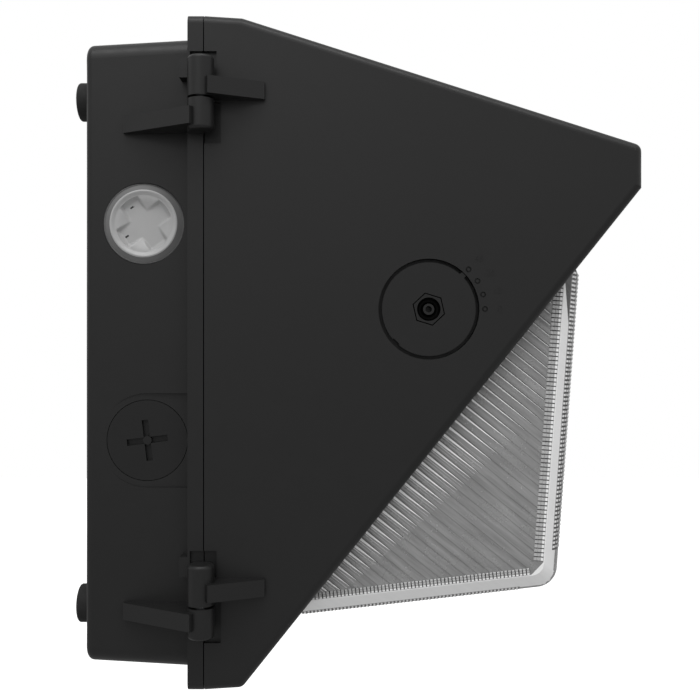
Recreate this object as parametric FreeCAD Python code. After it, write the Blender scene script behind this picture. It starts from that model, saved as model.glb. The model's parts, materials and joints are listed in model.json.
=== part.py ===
"""Wall pack light with a hinged hood and a tilting LED module.

Millimetres. +Z is up, the front faces -Y and the wall is the plane Y = 0. X = 0 is the middle of
the width and Z = 0 the middle of the flange's height. "Depth" is the distance from the wall, -Y.
"""
import FreeCAD, Part
import math
import os

V = FreeCAD.Vector
EX = V(1, 0, 0)

# ---- fits ---------------------------------------------------------------------------------------
running_fit = 0.06          # radial, pin or shaft that turns
seat_fit = 0.03             # radial, piece that stays in its seat
slip = 0.3                  # loose piece beside a wall
parting_gap = 0.35          # hood's rim to flange face
over = 1.0                  # cutting shapes run this far past the metal
same = 1e-6                 # two coordinates nearer than this are the same

# ---- back box -----------------------------------------------------------------------------------
width = 360.0
height = 230.0
pad_height = 5.6            # back box stands this far off the wall
box_depth = 36.6            # back face to the flange's back
flange_thick = 5.3
flange_step = 5.6           # flange stands out from the box walls
box_draft = 2.5             # degrees
box_wall = 3.2
box_corner_r = 6.0
box_edge_r = 2.4
rim_r = 3.0                 # rounding of flange and hood along their sides

# ---- wall pads ----------------------------------------------------------------------------------
pad_r = 6.8
pad_edge_r = 0.8
pad_inset = {"x": 22.0, "z": 24.6}      # from the flange's edges
screw_hole_r = 3.5

# ---- gasket between flange and hood -------------------------------------------------------------
gasket_width = 3.2
gasket_inset = 4.4          # flange's outer edge to the middle of the groove
groove_slack = 0.2          # each side
groove_depth = 2.2
gasket_proud = 0.05

# ---- hinges, left side --------------------------------------------------------------------------
hinge_offset = 4.9          # pin axis outside the side wall
knuckle_r = 4.5
knuckle_edge_r = 1.2
knuckle_gap = 0.8
door_knuckle_h = 13.6
box_knuckle_h = 10.4
pin_r = 1.6
pin_end_cover = 1.8         # metal left beyond each end of a pin
gusset_reach = 10.4         # outer corner of a gusset outside the side wall
gusset_h = 5.8
gusset_nib = 1.7            # gusset's thickness at its tip
box_gusset_length = 28.3
door_gusset_length = 21.0
gusset_shoulder = 3.0       # along the depth, knuckle axis to the gusset's outer corner
upper_hinge = {"inset": 30.0, "door_rise": 0.2, "box_drop": 3.2}
lower_hinge = {"inset": 30.5, "door_rise": 1.8, "box_drop": 1.2}
pocket_depth = 1.5          # into the side walls beside the knuckles
hood_pocket_length = 6.0    # beyond the parting plane
hood_pocket_drop = 3.2      # below the box's knuckle
lift_space = 3.3            # above the door's knuckle
relief_length = 4.6
pocket_boss_h = 6.8
pocket_boss_length = 2.8
pocket_boss_rise = 8.0

# ---- side entries -------------------------------------------------------------------------------
upper_entry = {"behind_flange": 16.1, "z": 44.6}
lower_entry = {"behind_flange": 15.0, "z": -30.3}
entry_r = 11.2
entry_boss_r = 17.0
entry_boss_inset = 13.6     # flange's side edge to the inner end of the thread boss
entry_inset = 16.4          # to the inner end of window and plugs
head_r = 13.9
head_gap = 0.2              # radial, head in its counterbore
plug_face_inset = 6.8
plug_head = 2.0
window_face_inset = 5.4
window_head = 2.4
window_edge_r = 0.5
spot_face_r = 16.3
slot_depth = 1.5
plug_slot_length = 7.1
plug_slot_width = 2.2
plug_slot_turn = 7.0        # degrees
plug_core_r = 1.5
window_slot_length = 10.6
window_slot_width = 6.5
window_slot_turn = 35.0
oring_r = 0.7               # section radius
oring_mid_r = 12.25

# ---- rear wire entry ----------------------------------------------------------------------------
grommet_hole_r = 11.0
grommet_lip = 2.2
grommet_lip_thick = 1.5
wire_bore_r = 6.0

# ---- photocell ----------------------------------------------------------------------------------
cell_r = 9.0
cell_length = 15.0
cell_gap = 1.0
bracket_thick = 1.5
bracket_width = 22.0
bracket_foot = 18.0
bracket_screw_span = 11.0

# ---- LED driver, terminal block and leads -------------------------------------------------------
driver_size = {"x": 150.0, "depth": 28.0, "z": 60.0}
driver_gap = {"x": 47.6, "z": 4.6}      # to the cavity's left and lower walls
driver_edge_r = 2.0
driver_ear = {"x": 14.0, "depth": 1.6, "z": 24.0}
terminal_size = {"x": 40.0, "depth": 16.0, "z": 22.0}
terminal_rise = 28.0        # above the driver's lower face
lead_run = 42.0             # driver's end to the terminal block
terminal_ways = 3
terminal_port_r = 2.4
terminal_port_depth = 13.0
lead_r = 1.3
lead_pitch = 6.3
lead_entry = 3.0            # a lead's bare end inside a terminal
ground_screw_from = {"x": -10.0, "z": 52.0}     # from the terminal block's corner

# ---- small screws -------------------------------------------------------------------------------
small_screw = {"r": 1.5, "head_r": 2.9, "head": 2.0, "length": 6.0, "slot": 1.0}
boss_r = 4.0
boss_h = 5.0

# ---- hood ---------------------------------------------------------------------------------------
knee_depth = 60.6
knee_drop = 0.8             # the knees are this much inside the flange's outline
nose_depth = 196.9
nose_top = 70.8
nose_bottom = 56.3
hood_wall = 3.2
hood_rim = 8.0              # inward rim at the parting plane
hood_rim_thick = 3.2

# ---- refractor -------------------------------------------------------
lens_heel = (35.3, 0.0)     # side face's low corner, along the hood's slanting edge and out of it
lens_toe = (93.9, 58.2)     # where front and bottom meet
lens_brow_inset = 39.5      # high corner, from the slanting edge's high end
lens_inset = 9.0            # side face from the hood's side
lens_wall = 3.0
front_band = 3.0            # smooth edge between side and front
front_round = 14.0
front_slope = 6.0           # degrees, where the front's bow begins
bottom_band = 4.4
bottom_round = 6.0
bottom_slope = 4.0
toe_r = 7.0
lens_rim_reach = 6.0        # bowl's rim beyond the side faces' corners, along the slanting edge
lens_flange = 8.0
lens_flange_side = 5.0
lens_flange_thick = 3.0
lens_gasket_thick = 1.5
window_slack = 1.2
clip_inset = 41.0           # outer clips from the side faces
clip_size = {"x": 16.0, "thick": 1.6, "lap": 3.5}
clip_boss_gap = 2.0         # boss to the refractor's flange

# ---- door screws, right side --------------------------------------------------------------------
ear_offset = 5.2
ear_r = 5.4
hood_ear = 8.0
box_ear = 9.0
door_screw = {"r": 2.1, "head_af": 8.0, "head": 4.0, "hole_r": 2.9, "tapped_r": 2.55}
door_screw_entry = 7.5      # into the back box's ear
washer_thick = 1.0
washer_r = 5.0
retainer = {"r": 4.2, "thick": 1.0, "pocket": 1.3}

# ---- tilt dials ---------------------------------------------------------------------------------
pivot_below_brow = 38.37    # along the slanting edge, from the refractor's high corner
pivot_inside = 30.95        # square to the slanting edge, into the hood
dial_pocket_r = 17.15
dial_pocket_depth = 3.6
dial_r = 15.9
dial_thick = 3.1
dial_floor_gap = 0.1
dial_tab_r = 16.9
dial_tab_width = 1.9
dial_notch = {"width": 2.8, "deep": 0.5}     # in the rim, opposite the pointer
pointer_angle = 45.0
dial_boss_r = 20.0
dial_boss_floor = 3.4       # pocket's floor
hub_r = 8.0
mark_r = 1.0
mark_core_r = 0.5
mark_ring_r = 19.0
mark_depth = 0.7
mark_angles = (0.0, 15.0, 30.0, 45.0)
bolt_af = 9.3
bolt_head = 6.0
bolt_room = 0.7             # wider than the head, across flats
bolt_turn = 43.0            # degrees, a corner of the head
bolt_r = 2.9
bolt_bore_r = 4.0
bolt_bore_depth = 5.0
bolt_core_recess = 0.6
bolt_stand_out = 1.0        # beyond the nut
bolt_core_r = 1.9
bolt_core_hole_r = 1.1
dial_oring_r = 0.8
drive_square = 9.0
drive_depth = 2.6
hub_length = 10.1           # dial's disc to the end bracket's boss
dial_groove_at = 2.3        # middle of the O-ring groove, from the disc
nut_af = 10.0
nut_thick = 4.0
spring_washer = {"r": 4.6, "thick": 1.2}

# ---- LED module, at rest aimed 45 degrees forward of straight down ------------------------------
aim_angle = 45.0
bracket_inset = 20.0        # hood's side to the end brackets' inner faces
end_bracket_thick = 3.0
end_bracket_half = 22.0
end_boss_wall = 1.0         # round the dial's drive
sink_half = 36.0
plate_offset = 6.0          # pivot to the plate's back
plate_thick = 3.0
fin_back = 8.0              # fins reach this far behind the pivot
fin_thick = 1.6
fin_places = (9.0, 17.0, 25.0, 33.0)
port_place = 13.0
port_r = 2.6
port_drop = 2.1             # ports' middle behind the plate
board_inset = 15.0          # board's ends from the brackets
board_half_along = 28.0
board_thick = 1.6
led_size = {"side": 5.0, "thick": 0.8}
led_rows = (-14.0, 14.0)
led_count = 12
led_margin = 24.0           # board's end to the middle of the outer LEDs
board_screw_inset = {"x": 7.0, "along": 8.0}
connector_size = {"x": 8.0, "along": 12.0, "thick": 5.0}

# ---- worked out ---------------------------------------------------------------------------------
half_w = width / 2
half_h = height / 2
box_back = pad_height
floor_depth = box_back + box_wall
flange_back = box_back + box_depth
parting = flange_back + flange_thick
hood_back = parting + parting_gap
hinge_x = -half_w - hinge_offset
draft_run = box_depth * math.tan(math.radians(box_draft))
ear_x = half_w + ear_offset
cavity_inset = flange_step + draft_run + box_wall
cavity = {"x": half_w - cavity_inset, "z": half_h - cavity_inset}
pad_x = half_w - pad_inset["x"]
pad_z = half_h - pad_inset["z"]
upper_hinge["z"] = half_h - upper_hinge["inset"]
lower_hinge["z"] = lower_hinge["inset"] - half_h
upper_entry["depth"] = flange_back - upper_entry["behind_flange"]
lower_entry["depth"] = flange_back - lower_entry["behind_flange"]
entry_boss_x = half_w - entry_boss_inset
entry_inner_x = half_w - entry_inset
plug_face_x = half_w - plug_face_inset
window_face_x = half_w - window_face_inset
driver_corner = {"x": driver_gap["x"] - cavity["x"], "z": driver_gap["z"] - cavity["z"]}
terminal_corner = {"x": driver_corner["x"] + driver_size["x"] + lead_run,
                   "z": driver_corner["z"] + terminal_rise}
ground_screw_at = {"x": terminal_corner["x"] + ground_screw_from["x"],
                   "z": terminal_corner["z"] + ground_screw_from["z"]}
slant_run = nose_depth - knee_depth
slant_rise = nose_bottom + half_h - knee_drop
slant_length = math.hypot(slant_run, slant_rise)
slant_way = {"depth": slant_run / slant_length, "z": slant_rise / slant_length}
lens_half = half_w - lens_inset
lens_brow = (slant_length - lens_brow_inset, 0.0)
pivot_along = lens_brow[0] - pivot_below_brow
pivot_depth = knee_depth + pivot_along * slant_way["depth"] - pivot_inside * slant_way["z"]
pivot_z = knee_drop - half_h + pivot_along * slant_way["z"] + pivot_inside * slant_way["depth"]
clip_x = lens_half - clip_inset
bracket_x = half_w - bracket_inset
board_half_x = bracket_x - board_inset
led_span = board_half_x - led_margin
board_screw_x = board_half_x - board_screw_inset["x"]
tilt_x = half_w - dial_pocket_depth
boss_inner_x = tilt_x - dial_boss_floor
dial_floor_x = tilt_x + dial_floor_gap
hub_end_x = dial_floor_x - hub_length
dial_groove_x = dial_groove_at - dial_floor_x


# ---- helpers ------------------------------------------------------------------------------------
def at(x, depth, z):
    return V(x, -depth, z)


def block(x, depth, z):
    """Box from three pairs of limits."""
    size = [abs(pair[1] - pair[0]) for pair in (x, depth, z)]
    return Part.makeBox(*size, V(min(x), -max(depth), min(z)))


def rod_x(x, depth, z, r):
    return Part.makeCylinder(r, abs(x[1] - x[0]), at(min(x), depth, z), EX)


def rod_y(x, depth, z, r):
    return Part.makeCylinder(r, abs(depth[1] - depth[0]), at(x, max(depth), z), V(0, 1, 0))


def rod_z(x, depth, z, r):
    return Part.makeCylinder(r, abs(z[1] - z[0]), at(x, depth, min(z)), V(0, 0, 1))


def polygon(points):
    return Part.Face(Part.makePolygon(points + points[:1]))


def prism_x(outline, x):
    """Outline of (depth, z) points between two X limits."""
    return polygon([at(min(x), depth, z) for depth, z in outline]).extrude(EX * abs(x[1] - x[0]))


def prism_z(outline, z):
    """Outline of (x, depth) points between two Z limits."""
    face = polygon([at(x, depth, min(z)) for x, depth in outline])
    return face.extrude(V(0, 0, abs(z[1] - z[0])))


def hexagon(across_flats, turn=0.0):
    """Corners of a hexagon about the origin."""
    r = across_flats / math.sqrt(3)
    angles = [math.radians(turn + 60 * k) for k in range(6)]
    return [(r * math.cos(a), r * math.sin(a)) for a in angles]


def hex_x(x, depth, z, across_flats, turn=0.0):
    return prism_x([(depth + d, z + h) for d, h in hexagon(across_flats, turn)], x)


def hex_y(x, depth, z, across_flats):
    corners = [at(x + a, max(depth), z + b) for a, b in hexagon(across_flats)]
    return polygon(corners).extrude(V(0, abs(depth[1] - depth[0]), 0))


def join(first, *others):
    return first.multiFuse(list(others)).removeSplitter()


def carve(base, *tools):
    return base.cut(list(tools))


def mirrored(shape):
    return shape.mirror(V(0, 0, 0), EX)


def pair(left):
    return [left, mirrored(left)]


def frame(start, end):
    """Matrix whose second axis runs from start to end, both (depth, z), with X kept.

    The third axis is square to both: outward for an outline followed from its low rear end.
    """
    along = at(0, *end) - at(0, *start)
    along.normalize()
    out = EX.cross(along)
    origin = at(0, *start)
    return FreeCAD.Matrix(
        1, along.x, out.x, origin.x,
        0, along.y, out.y, origin.y,
        0, along.z, out.z, origin.z,
        0, 0, 0, 1)


def framed_block(matrix, x, along, out):
    """Box with limits in a frame's own axes."""
    size = [abs(pair[1] - pair[0]) for pair in (x, along, out)]
    return Part.makeBox(*size, V(min(x), min(along), min(out))).transformed(matrix)


def framed_rod(matrix, x, along, out, r):
    """Cylinder along a frame's third axis."""
    rod = Part.makeCylinder(r, abs(out[1] - out[0]), V(x, along, min(out)), V(0, 0, 1))
    return rod.transformed(matrix)


def inset(outline, steps):
    """Move each side of a convex outline inward by its own step; side k leaves corner k."""
    count = len(outline)
    turn = sum(a[0] * b[1] - b[0] * a[1] for a, b in zip(outline, outline[1:] + outline[:1]))
    sign = math.copysign(1, turn)
    lines = []
    for k, step in enumerate(steps):
        (ax, ay), (bx, by) = outline[k], outline[(k + 1) % count]
        length = math.hypot(bx - ax, by - ay)
        nx, ny = -(by - ay) / length * sign, (bx - ax) / length * sign
        lines.append((nx, ny, nx * ax + ny * ay + step))
    corners = []
    for (a, b, c), (d, e, f) in zip(lines[-1:] + lines[:-1], lines):
        det = a * e - b * d
        corners.append(((c * e - b * f) / det, (a * f - c * d) / det))
    return corners


def edges_where(shape, test):
    """Straight edges whose two end points pass a test."""
    return [edge for edge in shape.Edges
            if len(edge.Vertexes) == 2 and test(edge.Vertexes[0].Point, edge.Vertexes[1].Point)]


def near(a, b):
    return abs(a - b) < same


def tapered_box(back_half, front_half, depth, corner_r, edge_r):
    """Box that widens from its back to its front, rounded along its length and round its back."""
    faces = []
    for (hx, hz), d in zip((back_half, front_half), depth):
        faces.append(Part.makePolygon([at(x, d, z) for x, z in
                     ((-hx, -hz), (hx, -hz), (hx, hz), (-hx, hz), (-hx, -hz))]))
    solid = Part.makeLoft(faces, True, True)
    solid = solid.makeFillet(corner_r, edges_where(solid, lambda a, b: not near(a.y, b.y)))
    back = [edge for edge in solid.Edges if near(edge.BoundBox.YMin, -depth[0])
            and near(edge.BoundBox.YMax, -depth[0])]
    return solid.makeFillet(edge_r, back)


def plate_xz(half_x, half_z, depth, corner_r):
    """Upright plate about the middle, with rounded corners."""
    plate = block((-half_x, half_x), depth, (-half_z, half_z))
    return plate.makeFillet(corner_r, edges_where(plate, lambda a, b: not near(a.y, b.y)))


def ring_xz(inset_middle, ring_width, depth, corner_r):
    """Ring that follows the flange's outline at an inset."""
    half = ring_width / 2
    outer = plate_xz(half_w - inset_middle + half, half_h - inset_middle + half, depth, corner_r)
    inner = plate_xz(half_w - inset_middle - half, half_h - inset_middle - half, depth, corner_r)
    return outer.cut(inner)


def screw(underside, tip, sizes):
    """Slotted pan-head screw from its head's underside to its tip."""
    axis = tip - underside
    head = Part.makeCylinder(sizes["head_r"], sizes["head"], V(0, 0, -sizes["head"]))
    shank = Part.makeCylinder(sizes["r"], axis.Length)
    slot = Part.makeBox(2 * sizes["head_r"], sizes["slot"], sizes["slot"],
                        V(-sizes["head_r"], -sizes["slot"] / 2, -sizes["head"]))
    shape = join(head, shank).cut(slot)
    shape.Placement = FreeCAD.Placement(underside, FreeCAD.Rotation(V(0, 0, 1), axis))
    return shape


def ring_y(x, z, depth, outer_r, inner_r):
    return rod_y(x, depth, z, outer_r).cut(rod_y(x, depth, z, inner_r))


def export(name, *solids):
    shape = solids[0] if len(solids) == 1 else Part.makeCompound(list(solids))
    shape.exportStep("parts/" + name + ".step")


# ---- hinge geometry shared by back box, hood and pins -------------------------------------------
def wall_x(depth):
    """Half width of the back box's outside at a depth."""
    return half_w - flange_step - (flange_back - depth) * math.tan(math.radians(box_draft))


def door_knuckle_z(hinge):
    return hinge["z"] + knuckle_gap / 2, hinge["z"] + knuckle_gap / 2 + door_knuckle_h


def box_knuckle_z(hinge):
    return hinge["z"] - knuckle_gap / 2 - box_knuckle_h, hinge["z"] - knuckle_gap / 2


def pin_z(hinge):
    return box_knuckle_z(hinge)[0] + pin_end_cover, door_knuckle_z(hinge)[1] - pin_end_cover


def knuckle(z, rounded_z):
    """Barrel about the pin axis, rounded at one end."""
    barrel = rod_z(hinge_x, parting, z, knuckle_r)
    rim = [edge for edge in barrel.Edges if near(edge.BoundBox.ZMin, rounded_z)
           and near(edge.BoundBox.ZMax, rounded_z)]
    return barrel.makeFillet(knuckle_edge_r, rim)


def box_lug(hinge):
    """Back box's knuckle with its web and its gusset, which runs back along the box wall."""
    z = box_knuckle_z(hinge)
    web = block((hinge_x, -half_w + hood_wall / 2), (parting - knuckle_r, parting), z)
    tip = parting - box_gusset_length
    outline = [(-half_w - gusset_reach, parting - gusset_shoulder),
               (-wall_x(tip) - gusset_nib, tip),
               (-wall_x(tip) + box_wall / 2, tip),
               (-wall_x(flange_back) + box_wall / 2, parting),
               (hinge_x, parting)]
    top = z[1] - hinge["box_drop"]
    return [knuckle(z, z[0]), web, prism_z(outline, (top - gusset_h, top))]


def door_lug(hinge):
    """Hood's knuckle with its web and its gusset, which runs forward along the hood's side."""
    z = door_knuckle_z(hinge)
    low = z[0] + hinge["door_rise"]
    inside = -half_w + hood_wall / 2
    web = block((hinge_x, inside), (hood_back, parting + knuckle_r), (low, low + gusset_h))
    tip = parting + door_gusset_length
    outline = [(-half_w - gusset_reach, parting + gusset_shoulder),
               (-half_w - gusset_nib, tip),
               (inside, tip),
               (inside, hood_back),
               (hinge_x, hood_back)]
    return [knuckle(z, z[1]), web, prism_z(outline, (low, low + gusset_h))]


def box_pockets(hinge):
    """Room in the flange's edge for the door's knuckle."""
    z = door_knuckle_z(hinge)
    return block((-half_w - over, -half_w + pocket_depth), (parting - knuckle_r, parting + over),
                 (z[0] - knuckle_gap / 2, z[1] + lift_space))


def hood_pockets(hinge):
    """Room in the hood's side for the box's knuckle and, above the gusset, beside the door's."""
    side = (-half_w - over, -half_w + pocket_depth)
    z = box_knuckle_z(hinge)
    low = door_knuckle_z(hinge)[0] + hinge["door_rise"] + gusset_h
    high = door_knuckle_z(hinge)[1] + lift_space
    return [block(side, (hood_back - over, parting + hood_pocket_length),
                  (z[0] - hood_pocket_drop, z[1] + knuckle_gap / 2)),
            block(side, (hood_back - over, parting + relief_length), (low, high))]


def pocket_boss(hinge):
    """Block that backs the flange behind the door's knuckle."""
    low = door_knuckle_z(hinge)[0] + pocket_boss_rise
    return block((-half_w, -wall_x(flange_back) + box_wall / 2),
                 (flange_back - pocket_boss_length, flange_back), (low, low + pocket_boss_h))


def hinge_pins():
    return [rod_z(hinge_x, parting, pin_z(hinge), pin_r) for hinge in (upper_hinge, lower_hinge)]


# ---- back box -----------------------------------------------------------------------------------
def entries():
    """Side of each entry (-1 left, 1 right), its place and the plane of its head's face."""
    return [(-1, upper_entry, window_face_x, window_head),
            (-1, lower_entry, plug_face_x, plug_head),
            (1, upper_entry, plug_face_x, plug_head),
            (1, lower_entry, plug_face_x, plug_head)]


def entry_cuts(side, place, face_x, head):
    depth, z = place["depth"], place["z"]
    thread = rod_x((side * (entry_boss_x - over), side * half_w), depth, z, entry_r + seat_fit)
    seat = rod_x((side * (face_x - head), side * half_w), depth, z, head_r + head_gap)
    return [thread, seat]


def spot_face(side, place):
    """Flat round the plug, open towards the flange."""
    depth, z = place["depth"], place["z"]
    x = (side * plug_face_x, side * (half_w - over))
    return join(rod_x(x, depth, z, spot_face_r),
                block(x, (depth, flange_back), (z - spot_face_r, z + spot_face_r)))


def pad_places():
    return [(x, z) for x in (-pad_x, pad_x) for z in (-pad_z, pad_z)]


def housing_screws():
    """X and Z of every small screw in the back box's floor."""
    driver_x, driver_z = driver_corner["x"], driver_corner["z"] + driver_size["z"] / 2
    terminal_x, terminal_z = terminal_corner["x"], terminal_corner["z"] + terminal_size["z"] / 2
    ear = driver_ear["x"] / 2
    foot_x = -cell_end_x() + bracket_thick + bracket_foot / 2
    foot_z = (upper_entry["z"] - bracket_screw_span / 2, upper_entry["z"] + bracket_screw_span / 2)
    terminal_end = terminal_x + terminal_size["x"]
    return {
        "driver": [(driver_x - ear, driver_z), (driver_x + driver_size["x"] + ear, driver_z)],
        "bracket": [(foot_x, z) for z in foot_z],
        "terminal": [(terminal_x - boss_r, terminal_z), (terminal_end + boss_r, terminal_z)],
        "ground": [(ground_screw_at["x"], ground_screw_at["z"])],
    }


def cell_end_x():
    """Inner end of the photocell, from the middle."""
    return entry_inner_x - cell_gap - cell_length


def back_box():
    back_half = (half_w - flange_step - draft_run, half_h - flange_step - draft_run)
    front_half = (half_w - flange_step, half_h - flange_step)
    body = tapered_box(back_half, front_half, (box_back, flange_back), box_corner_r, box_edge_r)
    flange = plate_xz(half_w, half_h, (flange_back, parting), rim_r)
    hollow = tapered_box([h - box_wall for h in back_half], [h - box_wall for h in front_half],
                         (floor_depth, parting + over), box_corner_r, box_edge_r)
    shell = join(join(body, flange).cut(hollow), *box_bosses(), *box_ears())
    return carve(shell, *box_cuts())


def box_bosses():
    """Bosses of the side entries and of the screws in the floor."""
    entry_x = (entry_boss_x, plug_face_x - plug_head)
    bosses = [rod_x((side * entry_x[0], side * entry_x[1]), place["depth"], place["z"], entry_boss_r)
              for side, place, *head in entries()]
    return bosses + [rod_y(x, (floor_depth - box_wall / 2, floor_depth + boss_h), z, boss_r)
                     for places in housing_screws().values() for x, z in places]


def box_ears():
    """Hinge lugs on the left, screw ears on the right."""
    depth = (parting - box_ear, parting)
    ears = []
    for hinge in (upper_hinge, lower_hinge):
        ears += box_lug(hinge)
        ears.append(pocket_boss(hinge))
        ears.append(rod_y(ear_x, depth, hinge["z"], ear_r))
        ears.append(block((wall_x(flange_back) - box_wall / 2, ear_x), depth,
                          (hinge["z"] - ear_r, hinge["z"] + ear_r)))
    return ears


def box_cuts():
    """Gasket groove, entries, wall and wire holes, tapped holes and hinge pockets."""
    groove = (parting - groove_depth, parting + over)
    cuts = [ring_xz(gasket_inset, gasket_width + 2 * groove_slack, groove, rim_r)]
    for side, place, face_x, head in entries():
        cuts += entry_cuts(side, place, face_x, head)
    cuts += [spot_face(side, lower_entry) for side in (-1, 1)]
    cuts += [rod_y(x, (0, floor_depth + over), z, screw_hole_r) for x, z in pad_places()]
    cuts.append(rod_y(0, (0, floor_depth + over), 0, grommet_hole_r + seat_fit))
    cuts += [rod_y(x, (floor_depth + boss_h + over, floor_depth), z, small_screw["r"] + seat_fit)
             for places in housing_screws().values() for x, z in places]
    for hinge in (upper_hinge, lower_hinge):
        tapped = (parting - box_ear - over, parting + over)
        cuts.append(box_pockets(hinge))
        cuts.append(rod_z(hinge_x, parting, (pin_z(hinge)[0], hinge["z"]), pin_r + seat_fit))
        cuts.append(rod_y(ear_x, tapped, hinge["z"], door_screw["tapped_r"]))
    return cuts


def wall_pads():
    pads = []
    for x, z in pad_places():
        pad = rod_y(x, (0, pad_height), z, pad_r)
        rim = [edge for edge in pad.Edges if near(edge.BoundBox.YMin, 0) and near(edge.BoundBox.YMax, 0)]
        pad = pad.makeFillet(pad_edge_r, rim)
        pads.append(pad.cut(rod_y(x, (-over, pad_height + over), z, screw_hole_r)))
    return pads


def door_gasket():
    return ring_xz(gasket_inset, gasket_width, (parting - groove_depth, parting + gasket_proud), rim_r)


def grommet():
    outer = [rod_y(0, (box_back - grommet_lip_thick, box_back), 0, grommet_hole_r + grommet_lip),
             rod_y(0, (box_back, floor_depth), 0, grommet_hole_r),
             rod_y(0, (floor_depth, floor_depth + grommet_lip_thick), 0, grommet_hole_r + grommet_lip)]
    return join(*outer).cut(rod_y(0, (0, floor_depth + 2 * grommet_lip_thick), 0, wire_bore_r))


# ---- side entries -------------------------------------------------------------------------------
def cross_slot(place, face_x, length, slot_width, turn):
    """Two crossed slots in a left-hand head's face."""
    depth, z = place["depth"], place["z"]
    slots = []
    for angle in (turn, turn + 90):
        slot = block((-face_x - over, -face_x + slot_depth), (depth - length, depth + length),
                     (z - slot_width / 2, z + slot_width / 2))
        slot.rotate(at(0, depth, z), EX, -angle)
        slots.append(slot)
    return join(*slots)


def entry_stopper(place, face_x, head):
    """Left-hand head and barrel, with a recess under the head for the O-ring."""
    depth, z = place["depth"], place["z"]
    seat_x = face_x - head
    disc = rod_x((-face_x, -seat_x), depth, z, head_r)
    barrel = rod_x((-face_x + head / 2, -entry_inner_x), depth, z, entry_r)
    groove_x = (-seat_x - 2 * oring_r, -seat_x)
    recess = rod_x(groove_x, depth, z, oring_mid_r + oring_r + slip).cut(rod_x(groove_x, depth, z, entry_r))
    return join(disc, barrel).cut(recess)


def entry_oring(place, face_x, head):
    middle = at(head - face_x - oring_r, place["depth"], place["z"])
    return Part.makeTorus(oring_mid_r, oring_r, middle, EX)


def photocell_window():
    place = upper_entry
    plug = entry_stopper(place, window_face_x, window_head)
    rim = [edge for edge in plug.Edges if near(edge.BoundBox.XMin, -window_face_x)
           and near(edge.BoundBox.XMax, -window_face_x)]
    plug = plug.makeFillet(window_edge_r, rim)
    bore_x = (-window_face_x + window_head + slot_depth, -entry_inner_x + over)
    bore = rod_x(bore_x, place["depth"], place["z"], entry_r - window_head)
    slots = cross_slot(place, window_face_x, window_slot_length, window_slot_width, window_slot_turn)
    return carve(plug, slots, bore)


def left_conduit_plug(place):
    plug = entry_stopper(place, plug_face_x, plug_head)
    core_x = (-plug_face_x - over, -plug_face_x + slot_depth)
    core = rod_x(core_x, place["depth"], place["z"], plug_core_r)
    slots = cross_slot(place, plug_face_x, plug_slot_length, plug_slot_width, plug_slot_turn).cut(core)
    return plug.cut(slots)


def conduit_plugs():
    return [left_conduit_plug(lower_entry),
            mirrored(left_conduit_plug(lower_entry)),
            mirrored(left_conduit_plug(upper_entry))]


def plug_orings():
    return [entry_oring(lower_entry, plug_face_x, plug_head),
            mirrored(entry_oring(lower_entry, plug_face_x, plug_head)),
            mirrored(entry_oring(upper_entry, plug_face_x, plug_head))]


# ---- inside the back box ------------------------------------------------------------------------
def photocell():
    x = (-entry_inner_x + cell_gap, -cell_end_x())
    return rod_x(x, upper_entry["depth"], upper_entry["z"], cell_r)


def photocell_bracket():
    foot_depth = floor_depth + boss_h
    z = (upper_entry["z"] - bracket_width / 2, upper_entry["z"] + bracket_width / 2)
    x = -cell_end_x()
    upright = block((x, x + bracket_thick), (foot_depth, upper_entry["depth"] + cell_r), z)
    foot = block((x, x + bracket_thick + bracket_foot), (foot_depth, foot_depth + bracket_thick), z)
    return carve(join(upright, foot), *floor_holes("bracket", bracket_thick))


def floor_holes(kind, thick):
    """Clearance holes in a tab of some thickness that lies on the floor's bosses."""
    seat = floor_depth + boss_h
    return [rod_y(x, (seat - over, seat + thick + over), z, small_screw["r"] + slip)
            for x, z in housing_screws()[kind]]


def floor_screws(kind, seat):
    """Small screws into the floor's bosses; seat is the depth of their heads' undersides."""
    return [screw(at(x, seat, z), at(x, seat - small_screw["length"], z), small_screw)
            for x, z in housing_screws()[kind]]


def led_driver():
    x0, z0 = driver_corner["x"], driver_corner["z"]
    base = floor_depth + boss_h
    x = (x0, x0 + driver_size["x"])
    z = (z0, z0 + driver_size["z"])
    case = block(x, (base, base + driver_size["depth"]), z)
    case = case.makeFillet(driver_edge_r, case.Edges)
    middle = (z[0] + z[1]) / 2
    ears = block((x[0] - driver_ear["x"], x[1] + driver_ear["x"]), (base, base + driver_ear["depth"]),
                 (middle - driver_ear["z"] / 2, middle + driver_ear["z"] / 2))
    return carve(join(case, ears), *floor_holes("driver", driver_ear["depth"]))


def lead_places():
    """Z of each supply lead."""
    middle = terminal_corner["z"] + terminal_size["z"] / 2
    return [middle + lead_pitch * (k - (terminal_ways - 1) / 2) for k in range(terminal_ways)]


def lead_depth():
    return floor_depth + boss_h + terminal_size["depth"] / 2


def terminal_block():
    x0, z0 = terminal_corner["x"], terminal_corner["z"]
    base = floor_depth + boss_h
    body = block((x0, x0 + terminal_size["x"]), (base, base + terminal_size["depth"]),
                 (z0, z0 + terminal_size["z"]))
    middle = z0 + terminal_size["z"] / 2
    tabs = block((x0 - 2 * boss_r, x0 + terminal_size["x"] + 2 * boss_r), (base, base + bracket_thick),
                 (middle - boss_r, middle + boss_r))
    ports = [rod_x((x0 - over, x0 + terminal_port_depth), lead_depth(), z, terminal_port_r)
             for z in lead_places()]
    return carve(join(body, tabs), *floor_holes("terminal", bracket_thick), *ports)


def driver_leads():
    """Straight supply leads from the driver's end to the terminal block."""
    start = driver_corner["x"] + driver_size["x"]
    end = terminal_corner["x"] + lead_entry
    return [rod_x((start, end), lead_depth(), z, lead_r) for z in lead_places()]


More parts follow.
